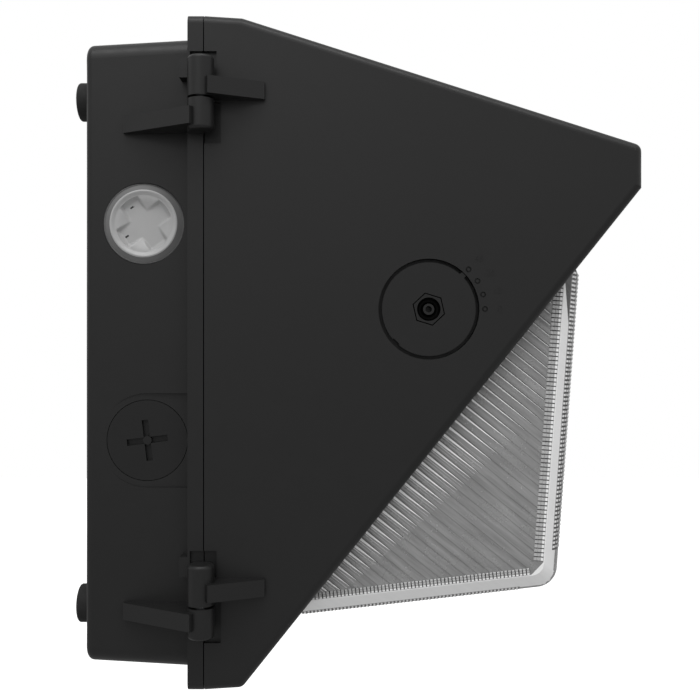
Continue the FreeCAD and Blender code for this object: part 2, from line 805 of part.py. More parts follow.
# ---- hood ---------------------------------------------------------------------------------------
def hood_outline():
    """(depth, z) corners, from the low rear one round the slanting opening to the top."""
    knee_z = half_h - knee_drop
    return [(hood_back, -half_h), (knee_depth, -knee_z), (nose_depth, nose_bottom),
            (nose_depth, nose_top), (knee_depth, knee_z), (hood_back, half_h)]


def slant():
    """Frame on the slanting opening: along it from the bottom knee, and out of it."""
    outline = hood_outline()
    return frame(outline[1], outline[2])


def lens_rim():
    """Limits of the bowl's rim along the slanting opening."""
    return lens_heel[0] - lens_rim_reach, lens_brow[0] + lens_rim_reach


def lens_corner(place):
    """(depth, z) of a place along the slanting edge and out of it."""
    point = slant().multVec(V(0, *place))
    return -point.y, point.z


def clip_places():
    """X and place along the slant of each clip's screw, with the side its flange is on."""
    low, high = lens_rim()
    below = low - lens_flange - clip_boss_gap - boss_r
    above = high + lens_flange + clip_boss_gap + boss_r
    rows = ((below, 1), (above, -1))
    return [(x, along, side) for x in (-clip_x, 0, clip_x) for along, side in rows]


def clip_seat():
    """Inner face of the refractor's flange, out of the slanting opening."""
    return -hood_wall - lens_gasket_thick - lens_flange_thick


def rounded_hood_body():
    body = prism_x(hood_outline(), (-half_w, half_w))
    rear = -hood_back
    sharp = at(0, nose_depth, nose_bottom)

    def kept(a, b):
        at_rear = near(a.y, rear) and near(b.y, rear)
        nose_edge = near(a.z, sharp.z) and near(b.z, sharp.z)
        return not at_rear and not nose_edge

    return body.makeFillet(rim_r, edges_where(body, kept))


def left_dial_room():
    """Pocket, hub bore and angle marks of the left dial."""
    pocket = rod_x((-half_w - over, -tilt_x), pivot_depth, pivot_z, dial_pocket_r)
    bore = rod_x((-half_w - over, -boss_inner_x + over), pivot_depth, pivot_z, hub_r + running_fit)
    marks = []
    for angle in mark_angles:
        turn = math.radians(angle)
        depth = pivot_depth + mark_ring_r * math.cos(turn)
        z = pivot_z + mark_ring_r * math.sin(turn)
        mark_x = (-half_w - over, -half_w + mark_depth)
        marks.append(rod_x(mark_x, depth, z, mark_r).cut(rod_x(mark_x, depth, z, mark_core_r)))
    return [pocket, bore] + marks


def hood_shell():
    """Hollow body with its inward rim at the parting plane and its window in the slanting face."""
    outer = rounded_hood_body()
    inner_x = half_w - hood_wall
    steps = [hood_wall] * (len(hood_outline()) - 1) + [-over]
    hollow = prism_x(inset(hood_outline(), steps), (-inner_x, inner_x))
    rim_depth = (hood_back, hood_back + hood_rim_thick)
    mouth = block((hood_rim - half_w, half_w - hood_rim), (rim_depth[0] - over, rim_depth[1] + over),
                  (hood_rim - half_h, half_h - hood_rim))
    rim = block((-half_w, half_w), rim_depth, (-half_h, half_h)).common(outer).cut(mouth)
    low, high = lens_rim()
    reach = lens_half + window_slack
    window = framed_block(slant(), (-reach, reach), (low - window_slack, high + window_slack),
                          (-hood_wall - over, over))
    return join(outer.cut(hollow), rim).cut(window)


def hood_bosses():
    """Bosses of the dials and of the clips' screws."""
    left_boss = rod_x((-boss_inner_x, hood_wall / 2 - half_w), pivot_depth, pivot_z, dial_boss_r)
    return pair(left_boss) + [framed_rod(slant(), x, along, (clip_seat(), -hood_wall / 2), boss_r)
                              for x, along, side in clip_places()]


def hood_lugs():
    """Hinge lugs on the left, screw ears on the right."""
    depth = (hood_back, hood_back + hood_ear)
    lugs = []
    for hinge in (upper_hinge, lower_hinge):
        lugs += door_lug(hinge)
        lugs.append(rod_y(ear_x, depth, hinge["z"], ear_r))
        lugs.append(block((half_w - hood_wall / 2, ear_x), depth, (hinge["z"] - ear_r, hinge["z"] + ear_r)))
    return lugs


def hood_lug_bores():
    """Pin bores and screw holes, which end in pockets for the retaining rings."""
    bores = []
    for hinge in (upper_hinge, lower_hinge):
        pin_bore = (door_knuckle_z(hinge)[0] - over, pin_z(hinge)[1] + slip)
        bores.append(rod_z(hinge_x, parting, pin_bore, pin_r + running_fit))
        bores.append(rod_y(ear_x, (hood_back - over, hood_back + hood_ear + over), hinge["z"],
                           door_screw["hole_r"]))
        bores.append(rod_y(ear_x, (hood_back - over, hood_back + retainer["pocket"]), hinge["z"],
                           retainer["r"] + slip))
    return bores


def hood():
    holes = [tool for left in left_dial_room() for tool in pair(left)]
    holes += [framed_rod(slant(), x, along, (clip_seat() - over, -hood_wall), small_screw["r"] + seat_fit)
              for x, along, side in clip_places()]
    for hinge in (upper_hinge, lower_hinge):
        holes += hood_pockets(hinge)
    body = carve(join(hood_shell(), *hood_bosses()), *holes)
    return carve(join(body, *hood_lugs()), *hood_lug_bores())


# ---- refractor ----------------------------------------------------------------------------------
def bow_section(band, round_r, slope, inset_by, depth):
    """Closed outline across the bowl: side walls, smooth edge bands, rounding and a shallow bow.

    It lies in the plane of a frame's first and third axes. The bands stand at 45 degrees.
    """
    lean = math.radians(45)
    flat = math.radians(slope)
    half = lens_half
    cx = half - band - round_r * math.sin(lean)
    cy = band - round_r * math.cos(lean)
    r = round_r - inset_by

    def on_arc(angle, side):
        return V(side * (cx + r * math.sin(angle)), 0, cy + r * math.cos(angle))

    crown = on_arc(flat, 1).z + on_arc(flat, 1).x * math.tan(flat / 2)
    corner_z = -inset_by * math.tan(lean / 2)
    edges = []
    for side in (-1, 1):
        foot = V(side * (half - inset_by), 0, -depth)
        corner = V(side * (half - inset_by), 0, corner_z)
        edges.append(Part.LineSegment(foot, corner).toShape())
        edges.append(Part.LineSegment(corner, on_arc(lean, side)).toShape())
        middle = on_arc((lean + flat) / 2, side)
        edges.append(Part.Arc(on_arc(lean, side), middle, on_arc(flat, side)).toShape())
    edges.append(Part.Arc(on_arc(flat, -1), V(0, 0, crown), on_arc(flat, 1)).toShape())
    edges.append(Part.LineSegment(V(inset_by - half, 0, -depth), V(half - inset_by, 0, -depth)).toShape())
    return Part.Face(Part.Wire(Part.__sortEdges__(edges)))


def bowed_prism(start, end, section):
    """Section drawn along the line from start to end, both (depth, z), and well past both."""
    run = at(0, *end).distanceToPoint(at(0, *start))
    solid = section.extrude(V(0, 3 * run, 0))
    solid.translate(V(0, -run, 0))
    return solid.transformed(frame(start, end))


def bowl(inset_by, floor):
    """Solid inside the bowl's outer skin, or its inner one when inset, down to a floor."""
    reach = 2 * lens_half
    front = bow_section(front_band, front_round, front_slope, inset_by, reach)
    under = bow_section(bottom_band, bottom_round, bottom_slope, inset_by, reach)
    low, high = lens_rim()
    half = lens_half - inset_by
    rim = framed_block(slant(), (-half, half), (low + inset_by, high - inset_by), (floor, reach))
    heel, toe, brow = [lens_corner(place) for place in (lens_heel, lens_toe, lens_brow)]
    body = bowed_prism(toe, brow, front).common(bowed_prism(heel, toe, under)).common(rim)
    return body.makeFillet(toe_r - inset_by, [toe_edge(body)])


def toe_edge(solid):
    """Crossways edge where the front meets the bottom."""
    crossways = [edge for edge in solid.Edges if edge.BoundBox.XLength > lens_half]
    toe = Part.Vertex(at(0, *lens_corner(lens_toe)))
    return min(crossways, key=lambda edge: edge.distToShape(toe)[0])


def refractor():
    low, high = lens_rim()
    side = lens_half + lens_flange_side
    flange = framed_block(slant(), (-side, side), (low - lens_flange, high + lens_flange),
                          (clip_seat(), clip_seat() + lens_flange_thick))
    return join(bowl(0, clip_seat()), flange).cut(bowl(lens_wall, clip_seat() - over))


def refractor_gasket():
    low, high = lens_rim()
    out = (-hood_wall - lens_gasket_thick, -hood_wall)
    side = lens_half + lens_flange_side - slip
    reach = lens_half + window_slack + slip
    rim = lens_flange - slip
    clear = window_slack + slip
    outer = framed_block(slant(), (-side, side), (low - rim, high + rim), out)
    inner = framed_block(slant(), (-reach, reach), (low - clear, high + clear), out)
    return outer.cut(inner)


def refractor_clips():
    low, high = lens_rim()
    clips = []
    for x, along, side in clip_places():
        edge = low - lens_flange + clip_size["lap"] if side > 0 else high + lens_flange - clip_size["lap"]
        plate = framed_block(slant(), (x - clip_size["x"] / 2, x + clip_size["x"] / 2),
                             (along - side * boss_r, edge), (clip_seat() - clip_size["thick"], clip_seat()))
        hole = framed_rod(slant(), x, along, (clip_seat() - clip_size["thick"] - over, clip_seat() + over),
                          small_screw["r"] + slip)
        clips.append(plate.cut(hole))
    return clips


def clip_screws():
    screws = []
    for x, along, side in clip_places():
        head = slant().multVec(V(x, along, clip_seat() - clip_size["thick"]))
        tip = slant().multVec(V(x, along, clip_seat() - clip_size["thick"] + small_screw["length"]))
        screws.append(screw(head, tip, small_screw))
    return screws


# ---- door screws --------------------------------------------------------------------------------
def door_screws():
    seat = hood_back + hood_ear + washer_thick
    tip = parting - door_screw_entry
    screws = []
    for hinge in (upper_hinge, lower_hinge):
        head = hex_y(ear_x, (seat, seat + door_screw["head"]), hinge["z"], door_screw["head_af"])
        shank = rod_y(ear_x, (tip, seat + door_screw["head"] / 2), hinge["z"], door_screw["r"])
        slot = block((ear_x - door_screw["head_af"], ear_x + door_screw["head_af"]),
                     (seat + door_screw["head"] - small_screw["slot"], seat + door_screw["head"]),
                     (hinge["z"] - small_screw["slot"] / 2, hinge["z"] + small_screw["slot"] / 2))
        screws.append(join(head, shank).cut(slot))
    return screws


def door_screw_washers():
    seat = hood_back + hood_ear
    return [ring_y(ear_x, hinge["z"], (seat, seat + washer_thick), washer_r, door_screw["r"] + slip)
            for hinge in (upper_hinge, lower_hinge)]


def screw_retainers():
    floor = hood_back + retainer["pocket"]
    return [ring_y(ear_x, hinge["z"], (floor - retainer["thick"], floor), retainer["r"],
                   door_screw["r"] + seat_fit) for hinge in (upper_hinge, lower_hinge)]


# ---- tilting LED module, left-hand pieces -------------------------------------------------------
def module_frame():
    """Along the module from its low rear edge, and the way it aims, about the pivot."""
    lean = math.radians(aim_angle)
    return frame((pivot_depth, pivot_z), (pivot_depth + math.cos(lean), pivot_z + math.sin(lean)))


def rim_block(x, reach, width):
    """Block across the left dial's rim, between two distances from its middle along the pointer."""
    bar = block(x, (pivot_depth + reach[0], pivot_depth + reach[1]),
                (pivot_z - width / 2, pivot_z + width / 2))
    bar.rotate(at(0, pivot_depth, pivot_z), EX, -pointer_angle)
    return bar


def left_dial():
    face_x = dial_floor_x + dial_thick
    disc = rod_x((-face_x, -dial_floor_x), pivot_depth, pivot_z, dial_r)
    tab = rim_block((-face_x, -dial_floor_x), (hub_r, dial_tab_r), dial_tab_width)
    notch = rim_block((-face_x - over, -dial_floor_x), (-dial_r - over, dial_notch["deep"] - dial_r),
                      dial_notch["width"])
    pointer = tab.common(rod_x((-face_x, -dial_floor_x), pivot_depth, pivot_z, dial_tab_r))
    hub = rod_x((-face_x + dial_thick / 2, -hub_end_x), pivot_depth, pivot_z, hub_r)
    tongue = framed_block(module_frame(), (-hub_end_x, drive_depth - hub_end_x),
                          (-drive_square / 2, drive_square / 2), (-drive_square / 2, drive_square / 2))
    room = hex_x((-face_x - over, bolt_head - face_x), pivot_depth, pivot_z, bolt_af + bolt_room, bolt_turn)
    bore = rod_x((-face_x, -bracket_x), pivot_depth, pivot_z, bolt_r + seat_fit)
    groove_x = (dial_groove_x - dial_oring_r, dial_groove_x + dial_oring_r)
    groove = rod_x(groove_x, pivot_depth, pivot_z, hub_r + over).cut(
        rod_x(groove_x, pivot_depth, pivot_z, hub_r - 2 * dial_oring_r))
    return carve(join(disc.cut(notch), pointer, hub, tongue), room, bore, groove)


def left_dial_oring():
    return Part.makeTorus(hub_r - dial_oring_r, dial_oring_r - seat_fit,
                          at(dial_groove_x, pivot_depth, pivot_z), EX)


def left_lock_bolt():
    face_x = dial_floor_x + dial_thick
    head = hex_x((-face_x, bolt_head - face_x), pivot_depth, pivot_z, bolt_af, bolt_turn)
    counterbore = rod_x((-face_x - over, bolt_bore_depth - face_x), pivot_depth, pivot_z, bolt_bore_r)
    core = rod_x((bolt_core_recess - face_x, bolt_head - face_x), pivot_depth, pivot_z, bolt_core_r)
    end = bracket_x - spring_washer["thick"] - nut_thick - bolt_stand_out
    shank = rod_x((bolt_bore_depth - face_x, -end), pivot_depth, pivot_z, bolt_r)
    hole = rod_x((-face_x - over, bolt_bore_depth - face_x), pivot_depth, pivot_z, bolt_core_hole_r)
    return join(head.cut(counterbore), core, shank).cut(hole)


def left_spring_washer():
    x = (-bracket_x, spring_washer["thick"] - bracket_x)
    return rod_x(x, pivot_depth, pivot_z, spring_washer["r"]).cut(
        rod_x(x, pivot_depth, pivot_z, bolt_r + seat_fit))


def left_lock_nut():
    start = spring_washer["thick"] - bracket_x
    x = (start, start + nut_thick)
    return hex_x(x, pivot_depth, pivot_z, nut_af, -aim_angle).cut(
        rod_x(x, pivot_depth, pivot_z, bolt_r + seat_fit))


def port_out():
    """Middle of the heat sink's screw ports, out from the pivot."""
    return plate_offset - port_drop


def left_end_bracket():
    module = module_frame()
    plate = framed_block(module, (-bracket_x - end_bracket_thick, -bracket_x),
                         (-end_bracket_half, end_bracket_half), (-fin_back, plate_offset + plate_thick))
    boss = rod_x((-hub_end_x, -bracket_x), pivot_depth, pivot_z, hub_r + end_boss_wall)
    half = drive_square / 2 + running_fit
    socket_x = (-hub_end_x - over, drive_depth - hub_end_x)
    socket = framed_block(module, socket_x, (-half, half), (-half, half))
    bore = rod_x((-hub_end_x, -bracket_x), pivot_depth, pivot_z, bolt_r + seat_fit)
    holes = []
    for along in (-port_place, port_place):
        place = module.multVec(V(0, along, port_out()))
        holes.append(rod_x((-hub_end_x, -bracket_x), -place.y, place.z, small_screw["r"] + slip))
    return carve(join(plate, boss), socket, bore, *holes)


def left_bracket_screws():
    screws = []
    for along in (-port_place, port_place):
        head = module_frame().multVec(V(-bracket_x - end_bracket_thick, along, port_out()))
        screws.append(screw(head, head + EX * small_screw["length"], small_screw))
    return screws


def board_screw_places():
    along = board_half_along - board_screw_inset["along"]
    corners = [(x, a) for x in (-board_screw_x, board_screw_x) for a in (-along, along)]
    return corners + [(0, 0)]


def heat_sink():
    module = module_frame()
    x = (-bracket_x, bracket_x)
    plate = framed_block(module, x, (-sink_half, sink_half), (plate_offset, plate_offset + plate_thick))
    fins = [framed_block(module, x, (side * place - fin_thick / 2, side * place + fin_thick / 2),
                         (-fin_back, plate_offset)) for place in fin_places for side in (-1, 1)]
    ports = []
    bores = []
    for along in (-port_place, port_place):
        place = module.multVec(V(0, along, port_out()))
        ports.append(rod_x(x, -place.y, place.z, port_r))
        bores.append(rod_x(x, -place.y, place.z, small_screw["r"] + seat_fit))
    through = (plate_offset - over, plate_offset + plate_thick + over)
    holes = [framed_rod(module, hx, along, through, small_screw["r"] + seat_fit)
             for hx, along in board_screw_places()]
    return carve(join(plate, *fins, *ports), *bores, *holes)


def board_face():
    return plate_offset + plate_thick + board_thick


def led_board():
    module = module_frame()
    board = framed_block(module, (-board_half_x, board_half_x), (-board_half_along, board_half_along),
                         (plate_offset + plate_thick, board_face()))
    holes = [framed_rod(module, hx, along, (plate_offset, board_face() + over), small_screw["r"] + slip)
             for hx, along in board_screw_places()]
    return carve(board, *holes)


def leds():
    half = led_size["side"] / 2
    columns = [led_span * (2 * k / (led_count - 1) - 1) for k in range(led_count)]
    return [framed_block(module_frame(), (x - half, x + half), (row - half, row + half),
                         (board_face(), board_face() + led_size["thick"]))
            for x in columns for row in led_rows]


def board_screws():
    module = module_frame()
    return [screw(module.multVec(V(x, along, board_face())),
                  module.multVec(V(x, along, board_face() - small_screw["length"])), small_screw)
            for x, along in board_screw_places()]


def board_connector():
    x = -board_screw_x
    return framed_block(module_frame(), (x - connector_size["x"] / 2, x + connector_size["x"] / 2),
                        (-connector_size["along"] / 2, connector_size["along"] / 2),
                        (board_face(), board_face() + connector_size["thick"]))


def ground_washer():
    depth = (floor_depth + boss_h, floor_depth + boss_h + washer_thick)
    return ring_y(ground_screw_at["x"], ground_screw_at["z"], depth, washer_r, small_screw["r"] + seat_fit)


# ---- build --------------------------------------------------------------------------------------
def build():
    os.makedirs("parts", exist_ok=True)
    screw_seat = floor_depth + boss_h
    export("back_box", back_box())
    export("wall_pads", *wall_pads())
    export("door_gasket", door_gasket())
    export("hinge_pins", *hinge_pins())
    export("photocell_window", photocell_window())
    export("window_oring", entry_oring(upper_entry, window_face_x, window_head))
    export("photocell", photocell())
    export("photocell_bracket", photocell_bracket())
    export("photocell_bracket_screws", *floor_screws("bracket", screw_seat + bracket_thick))
    export("conduit_plugs", *conduit_plugs())
    export("plug_orings", *plug_orings())
    export("wire_entry_grommet", grommet())
    export("led_driver", led_driver())
    export("driver_screws", *floor_screws("driver", screw_seat + driver_ear["depth"]))
    export("driver_leads", *driver_leads())
    export("terminal_block", terminal_block())
    export("terminal_screws", *floor_screws("terminal", screw_seat + bracket_thick))
    export("ground_screw", *floor_screws("ground", screw_seat + washer_thick))
    export("ground_washer", ground_washer())

    export("hood", hood())
    export("refractor", refractor())
    export("refractor_gasket", refractor_gasket())
    export("refractor_clips", *refractor_clips())
    export("clip_screws", *clip_screws())
    export("door_screws", *door_screws())
    export("door_screw_washers", *door_screw_washers())
    export("screw_retainers", *screw_retainers())

    export("left_dial", left_dial())
    export("right_dial", mirrored(left_dial()))
    export("dial_orings", *pair(left_dial_oring()))
    export("lock_bolts", *pair(left_lock_bolt()))
    export("spring_washers", *pair(left_spring_washer()))
    export("lock_nuts", *pair(left_lock_nut()))
    export("end_brackets", *pair(left_end_bracket()))
    export("end_bracket_screws", *[piece for left in left_bracket_screws() for piece in pair(left)])
    export("heat_sink", heat_sink())
    export("led_board", led_board())
    export("leds", *leds())
    export("board_screws", *board_screws())
    export("board_connector", board_connector())


build()
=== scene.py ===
import json
import math

import bmesh
import bpy
from mathutils import Matrix, Vector


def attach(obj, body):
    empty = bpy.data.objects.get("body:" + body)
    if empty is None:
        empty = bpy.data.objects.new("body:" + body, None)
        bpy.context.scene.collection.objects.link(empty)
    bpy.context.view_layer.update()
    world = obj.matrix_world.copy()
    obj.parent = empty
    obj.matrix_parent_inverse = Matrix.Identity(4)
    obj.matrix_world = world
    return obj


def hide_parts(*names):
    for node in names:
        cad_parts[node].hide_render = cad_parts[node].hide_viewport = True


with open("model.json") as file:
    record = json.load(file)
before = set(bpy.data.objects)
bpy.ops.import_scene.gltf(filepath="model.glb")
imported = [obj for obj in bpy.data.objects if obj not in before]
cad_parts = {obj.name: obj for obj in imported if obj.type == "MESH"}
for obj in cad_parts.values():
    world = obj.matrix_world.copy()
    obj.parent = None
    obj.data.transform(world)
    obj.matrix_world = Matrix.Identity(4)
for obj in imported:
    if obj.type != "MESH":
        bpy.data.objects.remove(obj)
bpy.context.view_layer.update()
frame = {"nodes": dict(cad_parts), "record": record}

MM = 0.001

# ---- places shared with the solids, in the row frame ---------------------------------------------
knee = Vector((0.0606, -0.1142))           # low end of the hood's slanting edge: depth, z
slant_way = Vector((0.62442, 0.78109))     # along that edge, upwards
slant_out = Vector((0.78109, -0.62442))    # square to it, out of the hood
lens_side = 0.171                          # the refractor's flat sides
heel = knee + slant_way * 0.0353           # the side face's corners
toe = knee + slant_way * 0.0939 + slant_out * 0.0582
brow = knee + slant_way * 0.178784
hood_side = 0.180
pivot = Vector((0.124102, 0.014802))       # depth, z of the dials' middle

# ---- camera and light ----------------------------------------------------------------------------
camera_place = (-0.511, -0.09735, 0.00094)
camera_lens = 50.2
camera_sensor = 36.0
floor_z = -1.25
floor_half = 9.0
backdrop_glow = 0.8                        # the floor's own light, for the camera and through glass
horizon = 0.05                             # the sky brightens over this height, above and below
sky_below, sky_above = 0.35, 0.8
lamp_target = (0.0, -0.1, 0.0)
LAMPS = (("overhead", (-0.85, -0.1, 1.5), (1.6, 0.5), 12.0),      # name, place, size, power
         ("fill", (-1.6, 0.4, 1.2), (1.2, 1.2), 5.0))

# ---- the window's turned shape -------------------------------------------------------------------
window_r = 13.9 * MM
window_head = 2.4 * MM                     # thickness of its head
window_web = 1.5 * MM                      # wall behind the head's hollow
window_bore_r = 8.8 * MM
barrel_r = 11.2 * MM
ridge_r = 11.35 * MM                       # its highest ring
ridge_width = 0.5 * MM
ridge_drop = 0.3 * MM
flange_gap = 0.4 * MM                      # from the ridge to where the flange starts to slope
flange_slope = 0.62
flange_finish_gap = 0.45 * MM              # from the ridge to where the flange's finish starts
lip_from, lip_to = 0.4 * MM, 0.25 * MM     # the raised lip's start and full height, in from the edge
lip_high = 0.35 * MM
cross_turn = 35.0                          # degrees
cross_half = 3.3 * MM
cross_bevel = 1.1 * MM
cross_reach = 10.2 * MM
cross_deep = 1.6 * MM
lobe_tip = 3.6 * MM                        # the dished lobes between the arms end here
dish_r = 9.7 * MM
rim_drop = 0.75 * MM
# places of the small slots, drawn as painted shade
window_slots = (Vector((-0.0044, 0.0058)), Vector((-0.0061, -0.0043)))     # from the window's middle
slot_way = Vector((0.82, 0.57))
slot_half_long, slot_half_wide = 0.75 * MM, 0.3 * MM
window_count, window_rings = 144, 70       # points round the window, rings on its front
window_sharp = 35                          # degrees above which its edges stay sharp

# ---- painted shade: a near-black fill in the recess of a lock bolt's head ------------------------
recess_shade_wall_r, recess_shade_core_r = 3.96 * MM, 1.94 * MM
bolt_face_drop = 0.4 * MM                  # the bolt head's face lies this far inside the hood's side
recess_shade_level, recess_shade_hollow = 2.2 * MM, 0.5 * MM
recess_shade_bottom = 4.9 * MM
recess_shade_count, recess_shade_steps = 48, 6
recess_shade_sharp = 40

# ---- prism detail on the refractor ---------------------------------------------------------------
weld = 0.001 * MM
cut_snap, plane_snap = 1e-7, 1e-5
flat_angle, lens_sharp = 0.05, 28          # degrees: faces joined below it, edges sharp above it
hood_gap = 0.3 * MM                        # plain border along the hood's edge
edge_gap = 0.3 * MM                        # plain border along the front and the underside
front_strip, bottom_strip = 3.5 * MM, 2.4 * MM         # widths of the strips of pads
fade = 0.6 * MM                            # width of the line round the ribs
rib_pitch = 3.1 * MM
ribs_first, ribs_last = 0.033, 0.178       # along the hood's edge
rib_snap = 0.02 * MM                       # how near a vertex lies to its line
rib_least = 0.4                            # share of the near height that every wedge has
wedge_reach, wedge_slope = 10.0 * MM, 0.17 # the wedges' reach out of the hood's edge, at
wedge_run = 60.0 * MM                      # this place along it, and its growth from there
strength_from, strength_rise = 20.0 * MM, 40.0 * MM    # the wedges widen from the toe's side
strength_to, strength_fall = 170.0 * MM, 60.0 * MM     # and narrow towards the top
strength_least = 0.3
fine_steps_from = 1.0 * MM                 # place of the fine steps in a rib
fine_steps_end = 112.0 * MM                # along the hood's edge
bar_pitch = 1.49 * MM
dash_pitch = 1.3 * MM
pads_toe_gap = 4.5 * MM
pad_rows = 3
pad_high = 0.2 * MM
pad_bevel = 0.2 * MM
pad_snap = 0.01 * MM
relief_gap = 0.35 * MM                     # pads and crests keep this far from the hood's edge
side_border = 5.0 * MM                     # clear border at the side faces, inwards
front_band, bottom_band = 3.0 * MM, 4.4 * MM           # clear bands at both ends of the bowed faces
front_crest, bottom_crest = 0.24 * MM, 0.2 * MM        # heights of the prisms across them
bow_toe_gap = 8.0 * MM
bow_end_gap = 1.0 * MM
bow_past = 0.02                            # the bowed faces reach this far past their edge
bow_facing, side_facing = 0.55, 0.3        # how far a face points out of the bow, or sideways
past_band, near_band = 0.9, 1.05           # shares of a band that tell faces past it and on it
dot_from_band = 0.4 * MM
dot_wide, dot_gap = 1.0 * MM, 0.35 * MM
# the hood's painted reflection, a dark patch in the front band, is this long
hood_reflection_reach = 15.0 * MM                    # length of the dark facet in the front band
# finishes: plain prism, painted highlight, painted shade, clear band painted bright, dimmer painted
# shade, painted half light
PRISM, PAINTED_GLINT, PAINTED_DARK, BAND_PAINTED_BRIGHT, PAINTED_DIM, PAINTED_HALF_LIGHT = range(6)       # finishes of the refractor's faces

# ---- numbers beside the dial's marks -------------------------------------------------------------
number_angles = (0, 15, 30, 45)
number_reach = 24.2 * MM                   # from the dial's middle
number_size = 3.2 * MM
number_high = 0.1 * MM


# ==== node helpers ================================================================================
MIX_A, MIX_B, MIX_RESULT = 6, 7, 2         # the colour sockets of a Mix node
WHITE = (1.0, 1.0, 1.0, 1.0)


class Shader:
    """A material with one Principled shader and short calls to add nodes to it."""

    def __init__(self, name, **values):
        self.material = bpy.data.materials.new(name)
        self.material.use_nodes = True
        self.tree = self.material.node_tree
        self.tree.nodes.clear()
        self.out = self.tree.nodes.new("ShaderNodeOutputMaterial")
        self.base = self.add("ShaderNodeBsdfPrincipled", **values)
        self.join(self.base.outputs["BSDF"], self.out.inputs["Surface"])
        self.place = self.add("ShaderNodeTexCoord").outputs["Object"]

    def add(self, kind, **values):
        node = self.tree.nodes.new(kind)
        for key, value in values.items():
            name = key.replace("_", " ")
            if name in node.inputs:
                node.inputs[name].default_value = value
            else:
                setattr(node, key, value)
        return node

    def join(self, source, target):
        self.tree.links.new(source, target)

    def stretched(self, scale):
        mapping = self.add("ShaderNodeMapping")
        mapping.inputs["Scale"].default_value = scale
        self.join(self.place, mapping.inputs["Vector"])
        return mapping.outputs["Vector"]

    def noise(self, scale, detail=3.0, place=None):
        node = self.add("ShaderNodeTexNoise", Scale=scale, Detail=detail)
        self.join(place or self.place, node.inputs["Vector"])
        return node.outputs["Fac"]

    def ramp(self, factor, low, high):
        node = self.add("ShaderNodeMapRange")
        self.join(factor, node.inputs["Value"])
        node.inputs["From Min"].default_value = 0.3
        node.inputs["From Max"].default_value = 0.7
        node.inputs["To Min"].default_value = low
        node.inputs["To Max"].default_value = high
        return node.outputs["Result"]

    def tint(self, factor, low, high):
        node = self.add("ShaderNodeMix", data_type="RGBA")
        self.join(factor, node.inputs["Factor"])
        node.inputs[MIX_A].default_value = (*low, 1.0)
        node.inputs[MIX_B].default_value = (*high, 1.0)
        self.join(node.outputs[MIX_RESULT], self.base.inputs["Base Color"])

    def rough(self, factor, low, high):
        self.join(self.ramp(factor, low, high), self.base.inputs["Roughness"])

    def bump(self, height, distance, strength):
        node = self.add("ShaderNodeBump", Strength=strength, Distance=distance)
        self.join(height, node.inputs["Height"])
        self.join(node.outputs["Normal"], self.base.inputs["Normal"])


def grey(value):
    return (value, value, value)


# ==== directions in the light's side view =========================================================
def flat_place(point):
    """Depth and z of a point."""
    return Vector((-point.y, point.z))


def across(way):
    """The row-frame direction of a (depth, z) direction."""
    return Vector((0.0, -way.x, way.y))


def deep(place):
    """The row-frame point of a (depth, z) place in the middle plane."""
    return Vector((0.0, -place.x, place.y))


# ==== objects =====================================================================================
def side_label(side):
    return "left" if side < 0 else "right"


def add_object(name, data):
    piece = bpy.data.objects.new(name, data)
    bpy.context.scene.collection.objects.link(piece)
    return piece


def facing(right):
    """The turn of an upright camera or text whose right-hand direction is given."""
    up = Vector((0.0, 0.0, 1.0))
    return Matrix((right, up, right.cross(up))).transposed().to_4x4()


def smooth_data(name, mesh, sharp, finishes):
    """The mesh as data that is smooth except at edges above the angle, with these finishes."""
    data = bpy.data.meshes.new(name)
    mesh.to_mesh(data)
    mesh.free()
    for stored in [item.name for item in data.attributes if "normal" in item.name]:
        data.attributes.remove(data.attributes[stored])
    data.shade_smooth()
    data.set_sharp_from_angle(angle=math.radians(sharp))
    for finish in finishes:
        data.materials.append(finish)
    return data


def lay_ring(mesh, middle, radius, count, x_at):
    """A ring of vertices round a middle given as depth and z; x_at gives the x at an angle."""
    ring = []
    for index in range(count):
        angle = 2.0 * math.pi * index / count
        place = middle + Vector((math.cos(angle), math.sin(angle))) * radius
        ring.append(mesh.verts.new((x_at(angle), -place.x, place.y)))
    return ring


def join_rings(mesh, rings):
    for ring, after in zip(rings, rings[1:]):
        for index in range(len(ring)):
            far = (index + 1) % len(ring)
            mesh.faces.new((ring[index], ring[far], after[far], after[index]))


# ==== materials, one for each slot of the record ==================================================
def powder_coat(name, level, roughness, grain):
    """Dark satin coating over a casting: fine orange peel, slightly uneven gloss."""
    shader = Shader(name, Specular_IOR_Level=0.3)
    patches = shader.noise(28.0)
    shader.tint(patches, grey(level * 0.93), grey(level * 1.07))
    shader.rough(shader.noise(210.0, 2.0), roughness - 0.03, roughness + 0.04)
    shader.bump(shader.noise(grain, 2.0), 0.00003, 0.35)
    return shader.material


def casting():
    return powder_coat("powder_coated_casting", 0.0105, 0.42, 1500.0)


def dial():
    return powder_coat("powder_coated_dial", 0.0098, 0.38, 2000.0)


def dark_steel():
    shader = Shader("blackened_steel", Specular_IOR_Level=0.4)
    shader.tint(shader.noise(160.0), grey(0.002), grey(0.004))
    shader.rough(shader.noise(420.0), 0.36, 0.44)
    shader.bump(shader.noise(1900.0), 0.00002, 0.4)
    return shader.material


def rubber():
    shader = Shader("matt_rubber", Specular_IOR_Level=0.25)
    shader.tint(shader.noise(90.0), grey(0.014), grey(0.021))
    shader.rough(shader.noise(300.0), 0.66, 0.82)
    shader.bump(shader.noise(2600.0, 4.0), 0.00004, 0.5)
    return shader.material


def sealant():
    # painted shade: a near-black fill that darkens the bolt recess
    shader = Shader("recess_painted_shade", Specular_IOR_Level=0.06)
    shader.tint(shader.noise(300.0), grey(0.001), grey(0.002))
    shader.rough(shader.noise(500.0), 0.3, 0.4)
    shader.bump(shader.noise(900.0), 0.00003, 0.3)
    return shader.material


